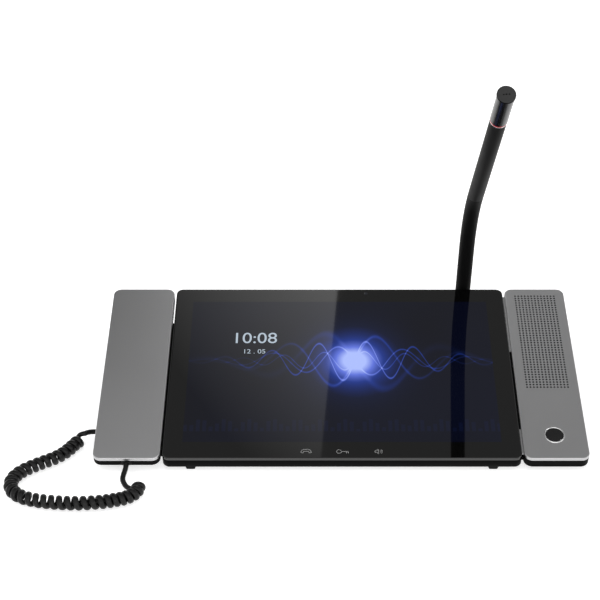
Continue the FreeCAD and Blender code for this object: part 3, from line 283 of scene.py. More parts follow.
class Shader:
    """Node tree of one material with short ways to add nodes."""

    def __init__(self, name):
        self.material = bpy.data.materials.new(name)
        self.material.use_nodes = True
        self.tree = self.material.node_tree
        self.surface = self.tree.nodes["Principled BSDF"]

    def add(self, kind, inputs, **settings):
        node = self.tree.nodes.new(kind)
        for key, value in settings.items():
            setattr(node, key, value)
        for key, value in inputs.items():
            self.give(node.inputs[key], value)
        return node

    def give(self, socket, value):
        if isinstance(value, bpy.types.NodeSocket):
            self.tree.links.new(value, socket)
        else:
            socket.default_value = value

    def set(self, **inputs):
        names = {"color": "Base Color", "emission": "Emission Color", "glow": "Emission Strength",
                 "coat": "Coat Weight", "specular": "Specular IOR Level"}
        for key, value in inputs.items():
            self.give(self.surface.inputs[names.get(key, key.capitalize())], value)

    def math(self, operation, first, second=0.0):
        node = self.add("ShaderNodeMath", {0: first, 1: second}, operation=operation)
        return node.outputs[0]

    def plus(self, first, second):
        return self.math("ADD", first, second)

    def minus(self, first, second):
        return self.math("SUBTRACT", first, second)

    def times(self, first, second):
        return self.math("MULTIPLY", first, second)

    def place(self):
        return self.add("ShaderNodeTexCoord", {}).outputs["Object"]

    def axes(self, vector):
        return self.add("ShaderNodeSeparateXYZ", {"Vector": vector}).outputs

    def noise(self, scale, detail=2.0):
        node = self.add("ShaderNodeTexNoise", {"Vector": self.place(), "Scale": scale, "Detail": detail})
        return node.outputs["Fac"]

    def spread(self, value, low, high, start=0.0, end=1.0):
        """Map start to end onto low to high."""
        node = self.add("ShaderNodeMapRange", {"Value": value, "From Min": start, "From Max": end,
                                               "To Min": low, "To Max": high})
        return node.outputs["Result"]

    def blend(self, factor, first, second):
        node = self.add("ShaderNodeMix", {}, data_type="RGBA")
        self.give(node.inputs["Factor"], factor)
        self.give(node.inputs[MIX_FIRST], first)
        self.give(node.inputs[MIX_SECOND], second)
        return node.outputs[MIX_RESULT]

    def bump(self, height, strength, distance):
        node = self.add("ShaderNodeBump", {"Height": height, "Strength": strength, "Distance": distance})
        self.tree.links.new(node.outputs["Normal"], self.surface.inputs["Normal"])


def grey(level, blue=0.0):
    return (level, level, level * (1 + blue), 1)


def plain_finish(name, color, roughness, metallic=0.0, grain=FINE_GRAIN, relief=0.15, mottle=0.15, **extra):
    """Surface with fine grain, slightly uneven colour and uneven roughness."""
    shader = Shader(name)
    broad = shader.noise(BROAD_SCALE, BROAD_DETAIL)
    darker = tuple(channel * (1 - mottle) for channel in color[:3]) + (1,)
    uneven = shader.spread(broad, roughness * (1 - ROUGHNESS_SWING),
                           min(roughness * (1 + ROUGHNESS_SWING), 1.0))
    shader.set(color=shader.blend(broad, darker, color), metallic=metallic, roughness=uneven, **extra)
    shader.bump(shader.noise(grain), relief, GRAIN_DEPTH)
    return shader.material


METAL_BLUE = 0.01
METAL_WORN = 0.89


def blasted_metal_painted_light(name, front_painted_tone, rear_painted_tone):
    """Anodised, finely blasted grey metal, with a painted light and shade ramp along the slab from its tone at the
    front to its tone at the rear.
    """
    shader = Shader(name)
    fine = shader.noise(9000, 1.0)
    broad = shader.noise(30, 3.0)
    # Ramp from the front to the rear of the slab, which paints light and shade into the colour
    along = shader.axes(shader.place())["Y"]
    back = shader.spread(along, 0.0, 1.0, slab_origin.y, slab_origin.y + BODY_DEPTH)
    full, worn = [shader.blend(back, grey(front_painted_tone * share, METAL_BLUE),
                               grey(rear_painted_tone * share, METAL_BLUE)) for share in (1.0, METAL_WORN)]
    shader.set(color=shader.blend(fine, worn, full), metallic=0.85,
               roughness=shader.spread(broad, 0.29, 0.34))
    shader.bump(fine, 0.12, 0.03 * MM)
    return shader.material


def bezel_glass():
    """Back-printed black glass with faint smears."""
    shader = Shader("cover_glass")
    smear = shader.noise(25, 5.0)
    shader.set(color=grey(0.0015), roughness=shader.spread(smear, 0.02, 0.05), specular=0.7)
    return shader.material


def circuit_board():
    """Green board with paler tracks."""
    shader = Shader("circuit_board")
    tracks = shader.add("ShaderNodeTexBrick", {
        "Vector": shader.place(), "Scale": 180.0, "Color1": (0.012, 0.10, 0.035, 1),
        "Color2": (0.016, 0.13, 0.045, 1), "Mortar": (0.05, 0.24, 0.10, 1)})
    shader.set(color=tracks.outputs["Color"], roughness=0.35)
    shader.bump(tracks.outputs["Fac"], 0.3, GRAIN_DEPTH)
    return shader.material


def woven(name, color):
    """Dark cloth of crossed threads."""
    shader = Shader(name)
    threads = [shader.add("ShaderNodeTexWave", {"Vector": shader.place(), "Scale": 900.0},
                          bands_direction=axis) for axis in ("X", "Y")]
    weave = shader.math("MAXIMUM", *(thread.outputs["Fac"] for thread in threads))
    shader.set(color=shader.blend(weave, grey(0.002), color), roughness=0.9)
    shader.bump(weave, 0.5, 0.1 * MM)
    return shader.material


# How far below the uppermost joint the sleeve starts to grey, and how far above it that is done
SLEEVE_GREY_BELOW = 12 * MM
SLEEVE_GREY_ABOVE = 6 * MM


def sleeve_finish():
    """Black sleeve of the gooseneck, which greys towards the stem."""
    shader = Shader("gooseneck_black")
    top = joints["sway_3"]["pos_m"][2]
    upper = shader.spread(shader.axes(shader.place())["Z"], 0.0, 1.0, top - SLEEVE_GREY_BELOW,
                          top + SLEEVE_GREY_ABOVE)
    broad = shader.noise(BROAD_SCALE, BROAD_DETAIL)
    shader.set(color=shader.blend(upper, grey(0.007), grey(0.024)), specular=0.02,
               roughness=shader.spread(broad, 0.38, 0.48))
    shader.bump(shader.noise(FINE_GRAIN), 0.15, GRAIN_DEPTH)
    return shader.material


def glowing(name, color, strength):
    """Lit surface with a slightly uneven glow."""
    shader = Shader(name)
    glow = shader.spread(shader.noise(3000), strength * 0.95, strength)
    shader.set(color=grey(0.02), roughness=0.3, emission=color, glow=glow)
    return shader.material


DISPLAY_HALF = 108.5 * MM
DISPLAY_FRONT = 14.5 * MM
DISPLAY_BACK = 149.9 * MM
KNOT_SIDE = 10 * MM
KNOT_BACK = 90 * MM

# The display's picture is measured in millimetres from the knot where its waves cross. Each wave has
# its length, swell, half width and light, and all of them fade over the reach to each side.
WAVES = ((34.0, 19.0, 0.9, 0.34), (47.0, -14.0, 0.7, 0.26), (63.0, 25.0, 1.5, 0.16),
         (88.0, -29.0, 3.4, 0.07), (29.0, 9.0, 0.6, 0.22))
WAVE_REACH = 74.0
# Half width and light of the knot's core and of its halo
KNOT_LIGHTS = ((13.0, 0.95), (28.0, 0.34))
LEVEL_BAR_PITCH = 4.4
LEVEL_BAR_SHARE = 0.62
LEVEL_BAR_FOOT = -66.0
LEVEL_BAR_LEAST = 2.0
LEVEL_BAR_RISE = 9.0
LEVEL_BAR_LIGHT = 0.035
LOUDNESS_STEP = 0.83
HAZE_SCALE = 11.0
HAZE_LIGHT = 0.05
# Colour of the picture by its light
DISPLAY_HUES = ((0.0, (0.0, 0.0, 0.0015, 1)), (0.10, (0.0022, 0.005, 0.026, 1)),
                (0.30, (0.012, 0.035, 0.24, 1)), (0.62, (0.12, 0.18, 0.72, 1)), (1.0, (0.42, 0.52, 1.0, 1)))


def display_picture():
    """Generic start screen: sound waves that cross at a bright knot, and a row of faint level bars."""
    shader = Shader("display")
    plus, minus, times = shader.plus, shader.minus, shader.times

    def soft(value, width):
        """One at value 0, fading out over width."""
        ratio = times(value, 1 / width)
        return shader.math("EXPONENT", times(times(ratio, ratio), -1.0))

    shift = Matrix.Rotation(-TILT, 3, "X") @ -slab_origin
    spot = shader.add("ShaderNodeMapping", {"Vector": shader.place(), "Location": shift,
                                            "Rotation": (-TILT, 0, 0)})
    axes = shader.axes(spot.outputs["Vector"])
    u = times(minus(axes["X"], KNOT_SIDE), 1 / MM)
    v = times(minus(axes["Y"], KNOT_BACK), 1 / MM)
    distance = shader.math("SQRT", plus(times(u, u), times(v, v)))
    fade = soft(u, WAVE_REACH)
    light = plus(*(times(soft(distance, width), strength) for width, strength in KNOT_LIGHTS))
    for length, swell, width, strength in WAVES:
        swing = times(times(shader.math("SINE", times(u, 2 * math.pi / length)), swell), fade)
        line = times(soft(minus(v, swing), width), strength)
        light = plus(light, times(line, fade))
    column = times(u, 1 / LEVEL_BAR_PITCH)
    bar = shader.math("LESS_THAN", shader.math("FRACT", column), LEVEL_BAR_SHARE)
    loudness = shader.math("SINE", times(shader.math("FLOOR", column), LOUDNESS_STEP))
    height = plus(times(shader.math("ABSOLUTE", loudness), LEVEL_BAR_RISE), LEVEL_BAR_LEAST)
    above = minus(v, LEVEL_BAR_FOOT)
    lit = times(shader.math("GREATER_THAN", above, 0.0), shader.math("LESS_THAN", above, height))
    light = plus(light, times(times(lit, bar), LEVEL_BAR_LIGHT))
    light = plus(light, shader.spread(shader.noise(HAZE_SCALE, 1.0), 0.0, HAZE_LIGHT))
    hue = shader.add("ShaderNodeValToRGB", {"Fac": light})
    stops = hue.color_ramp.elements
    for position, color in DISPLAY_HUES[1:-1]:
        stops.new(position).color = color
    for end in (0, -1):
        stops[end].color = DISPLAY_HUES[end][1]
    shader.set(color=grey(0.0015), roughness=0.03, specular=0.56, emission=hue.outputs["Color"], glow=1.0)
    return shader.material


PLAIN_FINISHES = {
    "frame_metal": {"color": grey(0.005), "roughness": 0.42, "specular": 0.03},
    "black_plastic": {"color": grey(0.0045), "roughness": 0.5, "relief": 0.3, "specular": 0.03},
    "black_rubber": {"color": grey(0.01), "roughness": 0.75, "relief": 0.3, "specular": 0.2},
    "cord_rubber": {"color": grey(0.006), "roughness": 0.33, "specular": 0.25},
    "stem_dark": {"color": grey(0.018), "roughness": 0.45, "specular": 0.02},
    "cap_dark": {"color": grey(0.044), "roughness": 0.5, "specular": 0.1},
    "chrome": {"color": grey(0.85), "roughness": 0.06, "metallic": 1.0, "relief": 0.02, "mottle": 0.03},
    "smoked_mirror": {"color": grey(0.06), "roughness": 0.24, "metallic": 1.0, "relief": 0.02,
                      "mottle": 0.03},
    "status_red": {"color": (0.62, 0.004, 0.012, 1), "roughness": 0.3, "coat": 0.5},
    "key_cap": {"color": grey(0.009), "roughness": 0.45, "specular": 0.25},
    "steel": {"color": grey(0.55), "roughness": 0.3, "metallic": 1.0, "grain": 1500},
    "socket_metal": {"color": grey(0.6), "roughness": 0.25, "metallic": 1.0},
    "capsule_metal": {"color": grey(0.6), "roughness": 0.35, "metallic": 1.0},
    "switch_plastic": {"color": grey(0.02), "roughness": 0.45},
    "terminal_green": {"color": (0.02, 0.22, 0.06, 1), "roughness": 0.45},
    "speaker_black": {"color": grey(0.02), "roughness": 0.8, "relief": 0.4},
    "icon_print": {"color": grey(0.32), "roughness": 0.35},
    # Near-black finish for the walls of the cover's holes: painted shade inside the holes
    "hole_black": {"color": grey(0.002), "roughness": 0.9},
    "lens_glass": {"color": (0.004, 0.006, 0.012, 1), "roughness": 0.05, "coat": 1.0},
}

materials = {name: plain_finish(name, **settings) for name, settings in PLAIN_FINISHES.items()}
materials.update({
    "cover_glass": bezel_glass(),
    "display": display_picture(),
    "digit_light": glowing("digit_light", (0.72, 0.86, 1.0, 1), 0.62),
    # Tones at the front and the rear of the slab: the wing's metal is painted slightly lighter towards the rear,
    # the handset's is painted darker towards the rear as shade
    "grey_metal": blasted_metal_painted_light("grey_metal", 0.51, 0.56),
    "handset_metal": blasted_metal_painted_light("handset_metal", 0.545, 0.41),
    "gooseneck_black": sleeve_finish(),
    "circuit_board": circuit_board(),
    "mesh_cloth": woven("mesh_cloth", grey(0.012)),
})


# Tablet

GLASS_THICKNESS = 2 * MM
GLASS_ROLL = 0.8 * MM
# Profile of the frame in millimetres: inset and height over its foot, then inset and depth under the glass
FRAME_FOOT = ((0.3, 0), (0.09, 0.09), (0, 0.3))
FRAME_RIM = ((0, 0.2), (0.15, 0.02), (0.4, 0))


def tablet_glass():
    """Cover glass with a rolled edge, and the display in it."""
    mesh = bmesh.new()
    loops = slab_loops(mesh, TABLET_BOUNDS, TABLET_CORNER, [(0, -GLASS_THICKNESS)] + rolled(GLASS_ROLL))
    screen = add_loop(mesh, rectangle(-DISPLAY_HALF, DISPLAY_HALF, DISPLAY_FRONT, DISPLAY_BACK), 0)
    fill(mesh, loops[-1], [screen])
    fill(mesh, loops[0], up=False)
    face = mesh.faces.new(screen)
    face.material_index = 1
    make_piece("tablet_glass", mesh, [materials["cover_glass"], materials["display"]], "base",
               replaced=["front_glass"])


def tablet_frame():
    """Frame under the glass, with rounded edges at its foot and under the glass."""
    mesh = bmesh.new()
    profile = [(inset * MM, -TABLET_THICKNESS + height * MM) for inset, height in FRAME_FOOT]
    profile += [(inset * MM, -GLASS_THICKNESS - depth * MM) for inset, depth in FRAME_RIM]
    loops = slab_loops(mesh, TABLET_BOUNDS, TABLET_CORNER, profile)
    fill(mesh, loops[0], up=False)
    fill(mesh, loops[-1])
    make_piece("tablet_frame", mesh, [materials["frame_metal"]], "base", replaced=["front_frame"])


ICON_BACK = 6.1 * MM
ICON_LINE = 0.42 * MM
ICON_RELIEF = 0.01 * MM
# Corners of the closed signs, and the strokes of the key's shaft and teeth, each for a size of 1
HANDSET_SIGN = ((-1, -0.25), (-0.82, 0.3), (-0.4, 0.52), (0.4, 0.52), (0.82, 0.3), (1, -0.25), (0.55, -0.35),
                (0.45, 0.05), (-0.45, 0.05), (-0.55, -0.35))
SPEAKER_SIGN = ((-0.9, -0.35), (-0.45, -0.35), (0.1, -0.8), (0.1, 0.8), (-0.45, 0.35), (-0.9, 0.35))
KEY_SIGN = (((-0.05, 0), (1.05, 0)), ((0.75, 0), (0.75, -0.35)), ((1.05, 0), (1.05, -0.35)))
HANDSET_SIGN_SIDE = -24.3 * MM
HANDSET_SIGN_SIZE = 3.6 * MM
SPEAKER_SIGN_SIDE = 24.4 * MM
SPEAKER_SIGN_SIZE = 2.4 * MM
KEY_SIGN_SIZE = 4 * MM
KEY_BOW_SIDE = -2.1 * MM
KEY_BOW_RADIUS = 1.6 * MM
KEY_BOW_TURN = 345
KEY_BOW_STEPS = 14
SOUND_ARC_SIDE = 24.9 * MM
SOUND_ARC_RADII = (1.4 * MM, 2.3 * MM)
SOUND_ARC_REACH = 42
SOUND_ARC_STEPS = 6
STROKE_END_STEPS = 6


def sign(points, side, size):
    """Points of a sign at its place among the icons."""
    return [(side + x * size, ICON_BACK + y * size) for x, y in points]


def stroke(points, closed=False):
    """Outlines of straight strokes with round ends, as one polygon per stretch."""
    outlines = []
    pairs = list(zip(points, points[1:]))
    if closed:
        pairs.append((points[-1], points[0]))
    for (u_one, v_one), (u_two, v_two) in pairs:
        heading = math.degrees(math.atan2(v_two - v_one, u_two - u_one))
        outlines.append(arc(u_two, v_two, ICON_LINE / 2, heading - 90, heading + 90, STROKE_END_STEPS)
                        + arc(u_one, v_one, ICON_LINE / 2, heading + 90, heading + 270, STROKE_END_STEPS))
    return outlines


def touch_icons():
    """Plain handset, key and loudspeaker signs printed under the glass."""
    outlines = stroke(sign(HANDSET_SIGN, HANDSET_SIGN_SIDE, HANDSET_SIGN_SIZE), closed=True)
    bow = arc(KEY_BOW_SIDE, ICON_BACK, KEY_BOW_RADIUS, 0, KEY_BOW_TURN, KEY_BOW_STEPS)
    outlines += stroke(bow, closed=True)
    for line in KEY_SIGN:
        outlines += stroke(sign(line, 0, KEY_SIGN_SIZE))
    outlines += stroke(sign(SPEAKER_SIGN, SPEAKER_SIGN_SIDE, SPEAKER_SIGN_SIZE), closed=True)
    for radius in SOUND_ARC_RADII:
        outlines += stroke(arc(SOUND_ARC_SIDE, ICON_BACK, radius, -SOUND_ARC_REACH, SOUND_ARC_REACH,
                               SOUND_ARC_STEPS))
    mesh = bmesh.new()
    for outline in outlines:
        add_plate(mesh, outline, 0, ICON_RELIEF)
    make_piece("touch_icons", mesh, [materials["icon_print"]], "base")


# Words, place from the front edge and size of the digits on the display
SCREEN_DIGITS = {"clock_digits": ("10:08", 112 * MM, 15 * MM), "date_digits": ("12 . 05", 99 * MM, 6 * MM)}
DIGITS_SIDE = -62 * MM
DIGITS_LIFT = 0.012 * MM


def screen_digits():
    """Plain digits on the display, as thin meshes."""
    for name, (words, v, size) in SCREEN_DIGITS.items():
        curve = bpy.data.curves.new(name, "FONT")
        curve.body = words
        curve.size = size
        curve.align_x = "CENTER"
        curve.align_y = "CENTER"
        mesh = bmesh.new()
        mesh.from_mesh(evaluated_mesh(curve))
        bmesh.ops.translate(mesh, verts=mesh.verts, vec=(DIGITS_SIDE, v, DIGITS_LIFT))
        make_piece(name, mesh, [materials["digit_light"]], "base")


CAMERA_SIDE = 19.7 * MM
CAMERA_BACK = 158.7 * MM
CAMERA_STEPS = 32
# Radius and height in millimetres of the lens, from its rim to its top
LENS_PROFILE = ((1.25, -0.1), (1.2, 0), (0.8, 0.015), (0, 0.02))


def camera_window():
    """Small lens behind the rear bezel: a dark ring round a glassy dome."""
    place = slab @ Matrix.Translation((CAMERA_SIDE, CAMERA_BACK, 0))
    ring = ring_profile(inner=1.25 * MM, outer=1.6 * MM, low=-0.4 * MM, high=0.02 * MM, edge=0.01 * MM)
    make_piece("camera_ring", lathe(ring, CAMERA_STEPS), [materials["stem_dark"]], "base", place)
    lens = lathe(millimetres(LENS_PROFILE), CAMERA_STEPS)
    make_piece("camera_lens", lens, [materials["lens_glass"]], "base", place)


# Handset and wing

SKIN = 1.2 * MM
EDGE_ROLL = 0.7 * MM
SKIRT_EDGE = 0.15 * MM
HANDSET_SKIRT = 2.6 * MM
WING_SKIRT = 2.4 * MM


def metal_cover(mesh, bounds, skirt, top_holes):
    """Skin of a metal cover: skirt, rolled edge, top with holes, and the inside of the skirt."""
    profile = [(SKIRT_EDGE, -skirt), (0, -skirt + SKIRT_EDGE)] + rolled(EDGE_ROLL)
    loops = slab_loops(mesh, bounds, COVER_CORNER, profile)
    inner = slab_loops(mesh, bounds, COVER_CORNER, [(SKIN, -skirt), (SKIN, -SKIN)])
    bridge(mesh, loops[0], inner[0])
    fill(mesh, loops[-1], [hole[0] for hole in top_holes])
    fill(mesh, inner[-1], [hole[1] for hole in top_holes], up=False)


def handset_cover():
    mesh = bmesh.new()
    metal_cover(mesh, (HANDSET_SIDE, -INNER_SIDE, 0, BODY_DEPTH), HANDSET_SKIRT, [])
    # The handset's metal is painted darker towards the rear as shade
    make_piece("handset_cover", mesh, [materials["handset_metal"]], "handset",
               replaced=["handset_top_shell"])


HOLE_COLUMNS = 13
HOLE_ROWS = 39
HOLE_PITCH = 2.4 * MM
HOLE_RADIUS = 0.7 * MM
HOLE_DEPTH = 0.5 * MM
HOLE_SIDES = 12
GRILLE_FRONT = 64.6 * MM
KEY_BACK = 20.65 * MM
KEY_HOLE = 7.1 * MM
KEY_HOLE_STEPS = 48


def punched_cells(mesh):
    """The perforated field as square cells, each with its round hole and the hole's wall, which is painted black
    as shade.
    """
    first = WING_CENTRE - (HOLE_COLUMNS - 1) / 2 * HOLE_PITCH
    half = HOLE_PITCH / 2
    for row in range(HOLE_ROWS):
        v = GRILLE_FRONT + row * HOLE_PITCH
        for column in range(HOLE_COLUMNS):
            u = first + column * HOLE_PITCH
            outline = circle(u, v, HOLE_RADIUS, HOLE_SIDES)
            rim = add_loop(mesh, outline, 0)
            foot = add_loop(mesh, outline, -HOLE_DEPTH)
            corners = add_loop(mesh, rectangle(u - half, u + half, v - half, v + half), 0)
            fill(mesh, corners, [rim])
            # The hole's wall takes the second finish, black as painted shade
            bridge(mesh, foot, rim, 1)


def wing_cover():
    """Metal cover of the wing, with the key's hole and the perforated field."""
    mesh = bmesh.new()
    half = HOLE_COLUMNS / 2 * HOLE_PITCH
    front = GRILLE_FRONT - HOLE_PITCH / 2
    field = rectangle(WING_CENTRE - half, WING_CENTRE + half, front, front + HOLE_ROWS * HOLE_PITCH)
    key_rim = circle(WING_CENTRE, KEY_BACK, KEY_HOLE, KEY_HOLE_STEPS)
    field_hole, key_hole = [(add_loop(mesh, rim, 0), add_loop(mesh, rim, -SKIN)) for rim in (field, key_rim)]
    bridge(mesh, key_hole[1], key_hole[0])
    metal_cover(mesh, (INNER_SIDE, WING_SIDE, 0, BODY_DEPTH), WING_SKIRT, [field_hole, key_hole])
    punched_cells(mesh)
    make_piece("loudspeaker_cover", mesh, [materials["grey_metal"], materials["hole_black"]], "base",
               replaced=["wing_cover"])


FLANGE_LOW = -7.3 * MM
LEDGE_LOW = -3.2 * MM
LEDGE_GAP = 0.35 * MM
FLANGE_INSET = 6.2 * MM
NECK_OPENING = (27.8 * MM, 101.2 * MM)


def wing_flange():
    """Inner side wall of the wing with its ledge towards the tablet, open where the neck comes through."""
    mesh = bmesh.new()
    for front, back in ((FLANGE_INSET, NECK_OPENING[0]), (NECK_OPENING[1], BODY_DEPTH - FLANGE_INSET)):
        for side, low, high in ((INNER_SIDE, FLANGE_LOW, LEDGE_LOW),
                                (HALF_TABLET + LEDGE_GAP, LEDGE_LOW, -WING_SKIRT)):
            add_plate(mesh, rectangle(side, INNER_SIDE + SKIN, front, back), low, high)
    make_piece("wing_side_wall", mesh, [materials["grey_metal"]], "base")


# Radius and height in millimetres of the key, from its foot to the middle of its top
KEY_PROFILE = ((0, -4.6), (1.5, -4.6), (1.5, -2.7), (7.0, -2.7), (7.0, -2.15), (6.05, -2.15), (6.05, -0.1),
               (5.95, 0.12), (5.7, 0.19), (5.3, 0.17), (4.2, 0.06), (2.6, -0.04), (1.2, -0.08), (0, -0.09))
KEY_STEPS = 72


def call_key_pieces():
    """Bright ring and the dished round key in it."""
    place = slab @ Matrix.Translation((WING_CENTRE, KEY_BACK, 0))
    ring = ring_profile(inner=6.12 * MM, outer=7.05 * MM, low=-1.9 * MM, high=0.5 * MM, edge=0.4 * MM)
    make_piece("key_surround", lathe(ring, KEY_STEPS), [materials["chrome"]], "base", place, ["key_ring"])
    key = lathe(millimetres(KEY_PROFILE), KEY_STEPS)
    make_piece("key_button", key, [materials["key_cap"]], "call_key", place, ["call_key"])


# Gooseneck microphone

JOINT_ORDER = ["bend_1", "sway_1", "bend_2", "sway_2", "bend_3", "sway_3"]
BODY_ORDER = ["base", "link_1", "link_2", "link_3", "link_4", "link_5", "microphone"]
BEND_AXIS = Vector(joints["bend_1"]["axis"]).normalized()
SLEEVE_WIDTH = 11.2 * MM
SLEEVE_TUCK = 0.1 * MM
SLEEVE_STEPS = 12
SLEEVE_SIDES = 48
SLEEVE_ROOT = (93.4 * MM, 171.4 * MM, -17 * MM)


def stem_place():
    """Local frame of the microphone's stem, with Z along it."""
    joint = joints["sway_3"]
    fore = Vector(joint["axis"]).normalized()
    turn = Matrix((BEND_AXIS, fore, BEND_AXIS.cross(fore))).transposed().to_4x4()
    return Matrix.Translation(joint["pos_m"]) @ turn


def curve_between(start, start_along, end, end_along):
    """Smooth line between two points with given directions at both."""
    reach = (end - start).length / 3
    first = start + start_along * reach
    second = end - end_along * reach
    points = []
    for step in range(SLEEVE_STEPS + 1):
        t = step / SLEEVE_STEPS
        points.append(start * (1 - t) ** 3 + first * 3 * t * (1 - t) ** 2 + second * 3 * t * t * (1 - t)
                      + end * t ** 3)
    return points


def sleeve_piece(name, points, widths, closed, body, replaced=()):
    """One stretch of the sleeve, of a round width at each point."""
    sizes = [(width, width) for width in widths]
    mesh = tube(points, [BEND_AXIS] * len(points), sizes, SLEEVE_SIDES, closed)
    return make_piece(name, mesh, [materials["gooseneck_black"]], body, Matrix(), replaced)


def gooseneck_sleeve():
    """Smooth black sleeve in stretches, each bending at one joint, and its straight root."""
    centres = [Vector(joints[name]["pos_m"]) for name in JOINT_ORDER]
    slab_up = slab.to_3x3() @ UP
    directions = [slab_up] + [(after - before).normalized() for before, after in zip(centres, centres[1:])]
    directions.append(stem_place().to_3x3() @ UP)
    pitch = (centres[1] - centres[0]).length
    last = len(centres) - 1
    for i, centre in enumerate(centres):
        start = centre - directions[i] * pitch / 2
        end = centre + directions[i + 1] * pitch / 2
        points = curve_between(start, directions[i], end, directions[i + 1])
        widths = [SLEEVE_WIDTH] * len(points)
        if i == last:
            widths[-1] -= SLEEVE_TUCK
        piece = sleeve_piece("gooseneck_sleeve_" + str(i + 1), points, widths, (), BODY_ORDER[i])
        piece.parent = None
        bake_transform(piece)
        if i < last:
            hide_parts("gooseneck_link_" + str(i + 1))
    low = slab @ Vector(SLEEVE_ROOT)
    top = centres[0] - slab_up * pitch / 2
    points = [low.lerp(top, step / SLEEVE_STEPS) for step in range(SLEEVE_STEPS + 1)]
    sleeve_piece("gooseneck_root", points, [SLEEVE_WIDTH] * len(points), (0,), "base", ["stem_sleeve"])


STEM_RADIUS = 5.6 * MM
STEM_LENGTH = 146.95 * MM
STEM_FOOT = 4 * MM
STEM_FOOT_INSET = 0.1 * MM
STEM_FOOT_RISE = 0.2 * MM
STEM_TOP_EDGE = 0.15 * MM
HEAD_RADIUS = 5.75 * MM
HEAD_LENGTH = 33.1 * MM
HEAD_WALL = 0.8 * MM
HEAD_HOLLOW = 6 * MM
TRIM_LENGTH = 0.5 * MM
RING_LENGTH = 1.2 * MM
BREAK = 0.1 * MM
CAP_RADIUS = 6.1 * MM
CAP_LENGTH = 1.6 * MM
CAP_STEPS = 64
# Inset and drop below the tip in millimetres of the cap's rim, from its side to its face
CAP_RIM = ((0, 0.4), (0.12, 0.12), (0.4, 0), (0.6, 0), (0.7, 0.1), (0.85, 0.12))
SOUND_HOLE_RADIUS = 0.55 * MM
SOUND_HOLE_PITCH = 1.78 * MM
SOUND_HOLE_FLOOR = 0.2 * MM
SOUND_HOLE_STEPS = 16


def barrel(radius, low, high):
    """Profile of a rod with broken edges."""
    return [(0, low), (radius - BREAK, low), (radius, low + BREAK), (radius, high - BREAK),
            (radius - BREAK, high), (0, high)]


def microphone():
    """Stem, bright trim, red ring, mirror-bright head and dark cap."""
    place = stem_place()
    ring_low = STEM_LENGTH - HEAD_LENGTH
    trim_low = ring_low - TRIM_LENGTH
    head_low = ring_low + RING_LENGTH
    cap_low = STEM_LENGTH - CAP_LENGTH
    stem = [(0, STEM_FOOT), (STEM_RADIUS - STEM_FOOT_INSET, STEM_FOOT),
            (STEM_RADIUS, STEM_FOOT + STEM_FOOT_RISE), (STEM_RADIUS, trim_low - STEM_TOP_EDGE),
            (STEM_RADIUS - STEM_TOP_EDGE, trim_low), (0, trim_low)]
    bore = HEAD_RADIUS - HEAD_WALL
    head = barrel(HEAD_RADIUS, head_low, cap_low)[:-1] + [(bore, cap_low), (bore, cap_low - HEAD_HOLLOW),
                                                          (0, cap_low - HEAD_HOLLOW)]
    for name, profile, finish, replaced in (
            ("microphone_stem", stem, "stem_dark", "upper_stem"),
            ("light_ring_trim", barrel(HEAD_RADIUS, trim_low, ring_low), "chrome", "ring_trim"),
            ("light_ring", barrel(HEAD_RADIUS, ring_low, head_low), "status_red", "status_ring"),
            ("microphone_head", head, "smoked_mirror", "mic_head")):
        make_piece(name, lathe(profile), [materials[finish]], "microphone", place, [replaced])
    microphone_cap(place, cap_low)


def microphone_cap(place, cap_low):
    """Dark end cap with a rounded rim and three small sound holes."""
    mesh = bmesh.new()
    rims = [(CAP_RADIUS, cap_low)] + [(CAP_RADIUS - inset * MM, STEM_LENGTH - drop * MM)
                                      for inset, drop in CAP_RIM]
    face_height = rims[-1][1]
    loops = [add_loop(mesh, circle(0, 0, radius, CAP_STEPS), height) for radius, height in rims]
    bridge(mesh, loops[0], loops[1], 1)
    for lower, upper in zip(loops[1:], loops[2:]):
        bridge(mesh, lower, upper)
    holes = []
    for index in (-1, 0, 1):
        outline = circle(index * SOUND_HOLE_PITCH, 0, SOUND_HOLE_RADIUS, SOUND_HOLE_STEPS)
        holes.append(add_loop(mesh, outline, face_height))
        floor = add_loop(mesh, outline, cap_low + SOUND_HOLE_FLOOR)
        bridge(mesh, floor, holes[-1])
        fill(mesh, floor)
    fill(mesh, loops[-1], holes)
    fill(mesh, loops[0], up=False)
    make_piece("microphone_cap", mesh, [materials["cap_dark"], materials["black_plastic"]], "microphone",
               place, ["mic_cap"])


# Curly cord

WIRE = 3.1 * MM
LEAD = 3.6 * MM
WIDEST = 4.1 * MM
FILLED = 0.84
WIRE_SIDES = 14
REST_GAP = 0.05 * MM
CURL = 9.8 * MM
CURL_TURNS = 34.5
CURL_RADIUS = (CURL - WIRE) / 2
CURL_LEVEL = WIRE / 2 + REST_GAP + CURL_RADIUS
TURN_STEPS = 26
UNWIND = 7 * MM
GLANCE = 0.8 * MM

# The coil's middle line in millimetres on the desk, from below the middle of the slab's front edge
CURL_ROUTE = ((-176.9, 32.4), (-182.2, 27.6), (-186.6, 18.6), (-193.0, 10.3), (-206.0, 2.4), (-216.0, -5.2),
              (-221.0, -13.8), (-220.1, -23.5), (-213.5, -31.0), (-202.0, -35.3), (-189.0, -37.4),
              (-174.0, -38.4), (-158.5, -37.0), (-148.3, -34.6), (-142.3, -32.6), (-137.8, -29.1),
              (-135.4, -24.2), (-135.3, -20.6))
# Corners of the two plain ends from the same place, with their height
BASE_LEAD_CORNER = (-171.8, 35.7, 7.2)
HANDSET_LEAD_CORNERS = ((-147.7, -9.4, 2.4), (-145.9, -14.4, (LEAD / 2 + REST_GAP) / MM))
# Ends of the cord in slab coordinates, v and w: the gland's mouth, the first corner before it and the plug
GLAND_MOUTH = (-0.3 * MM, -5.4 * MM)
GLAND_CORNER = (-3.6 * MM, -5.9 * MM)
PLUG_FACE = (34 * MM, -12.3 * MM)
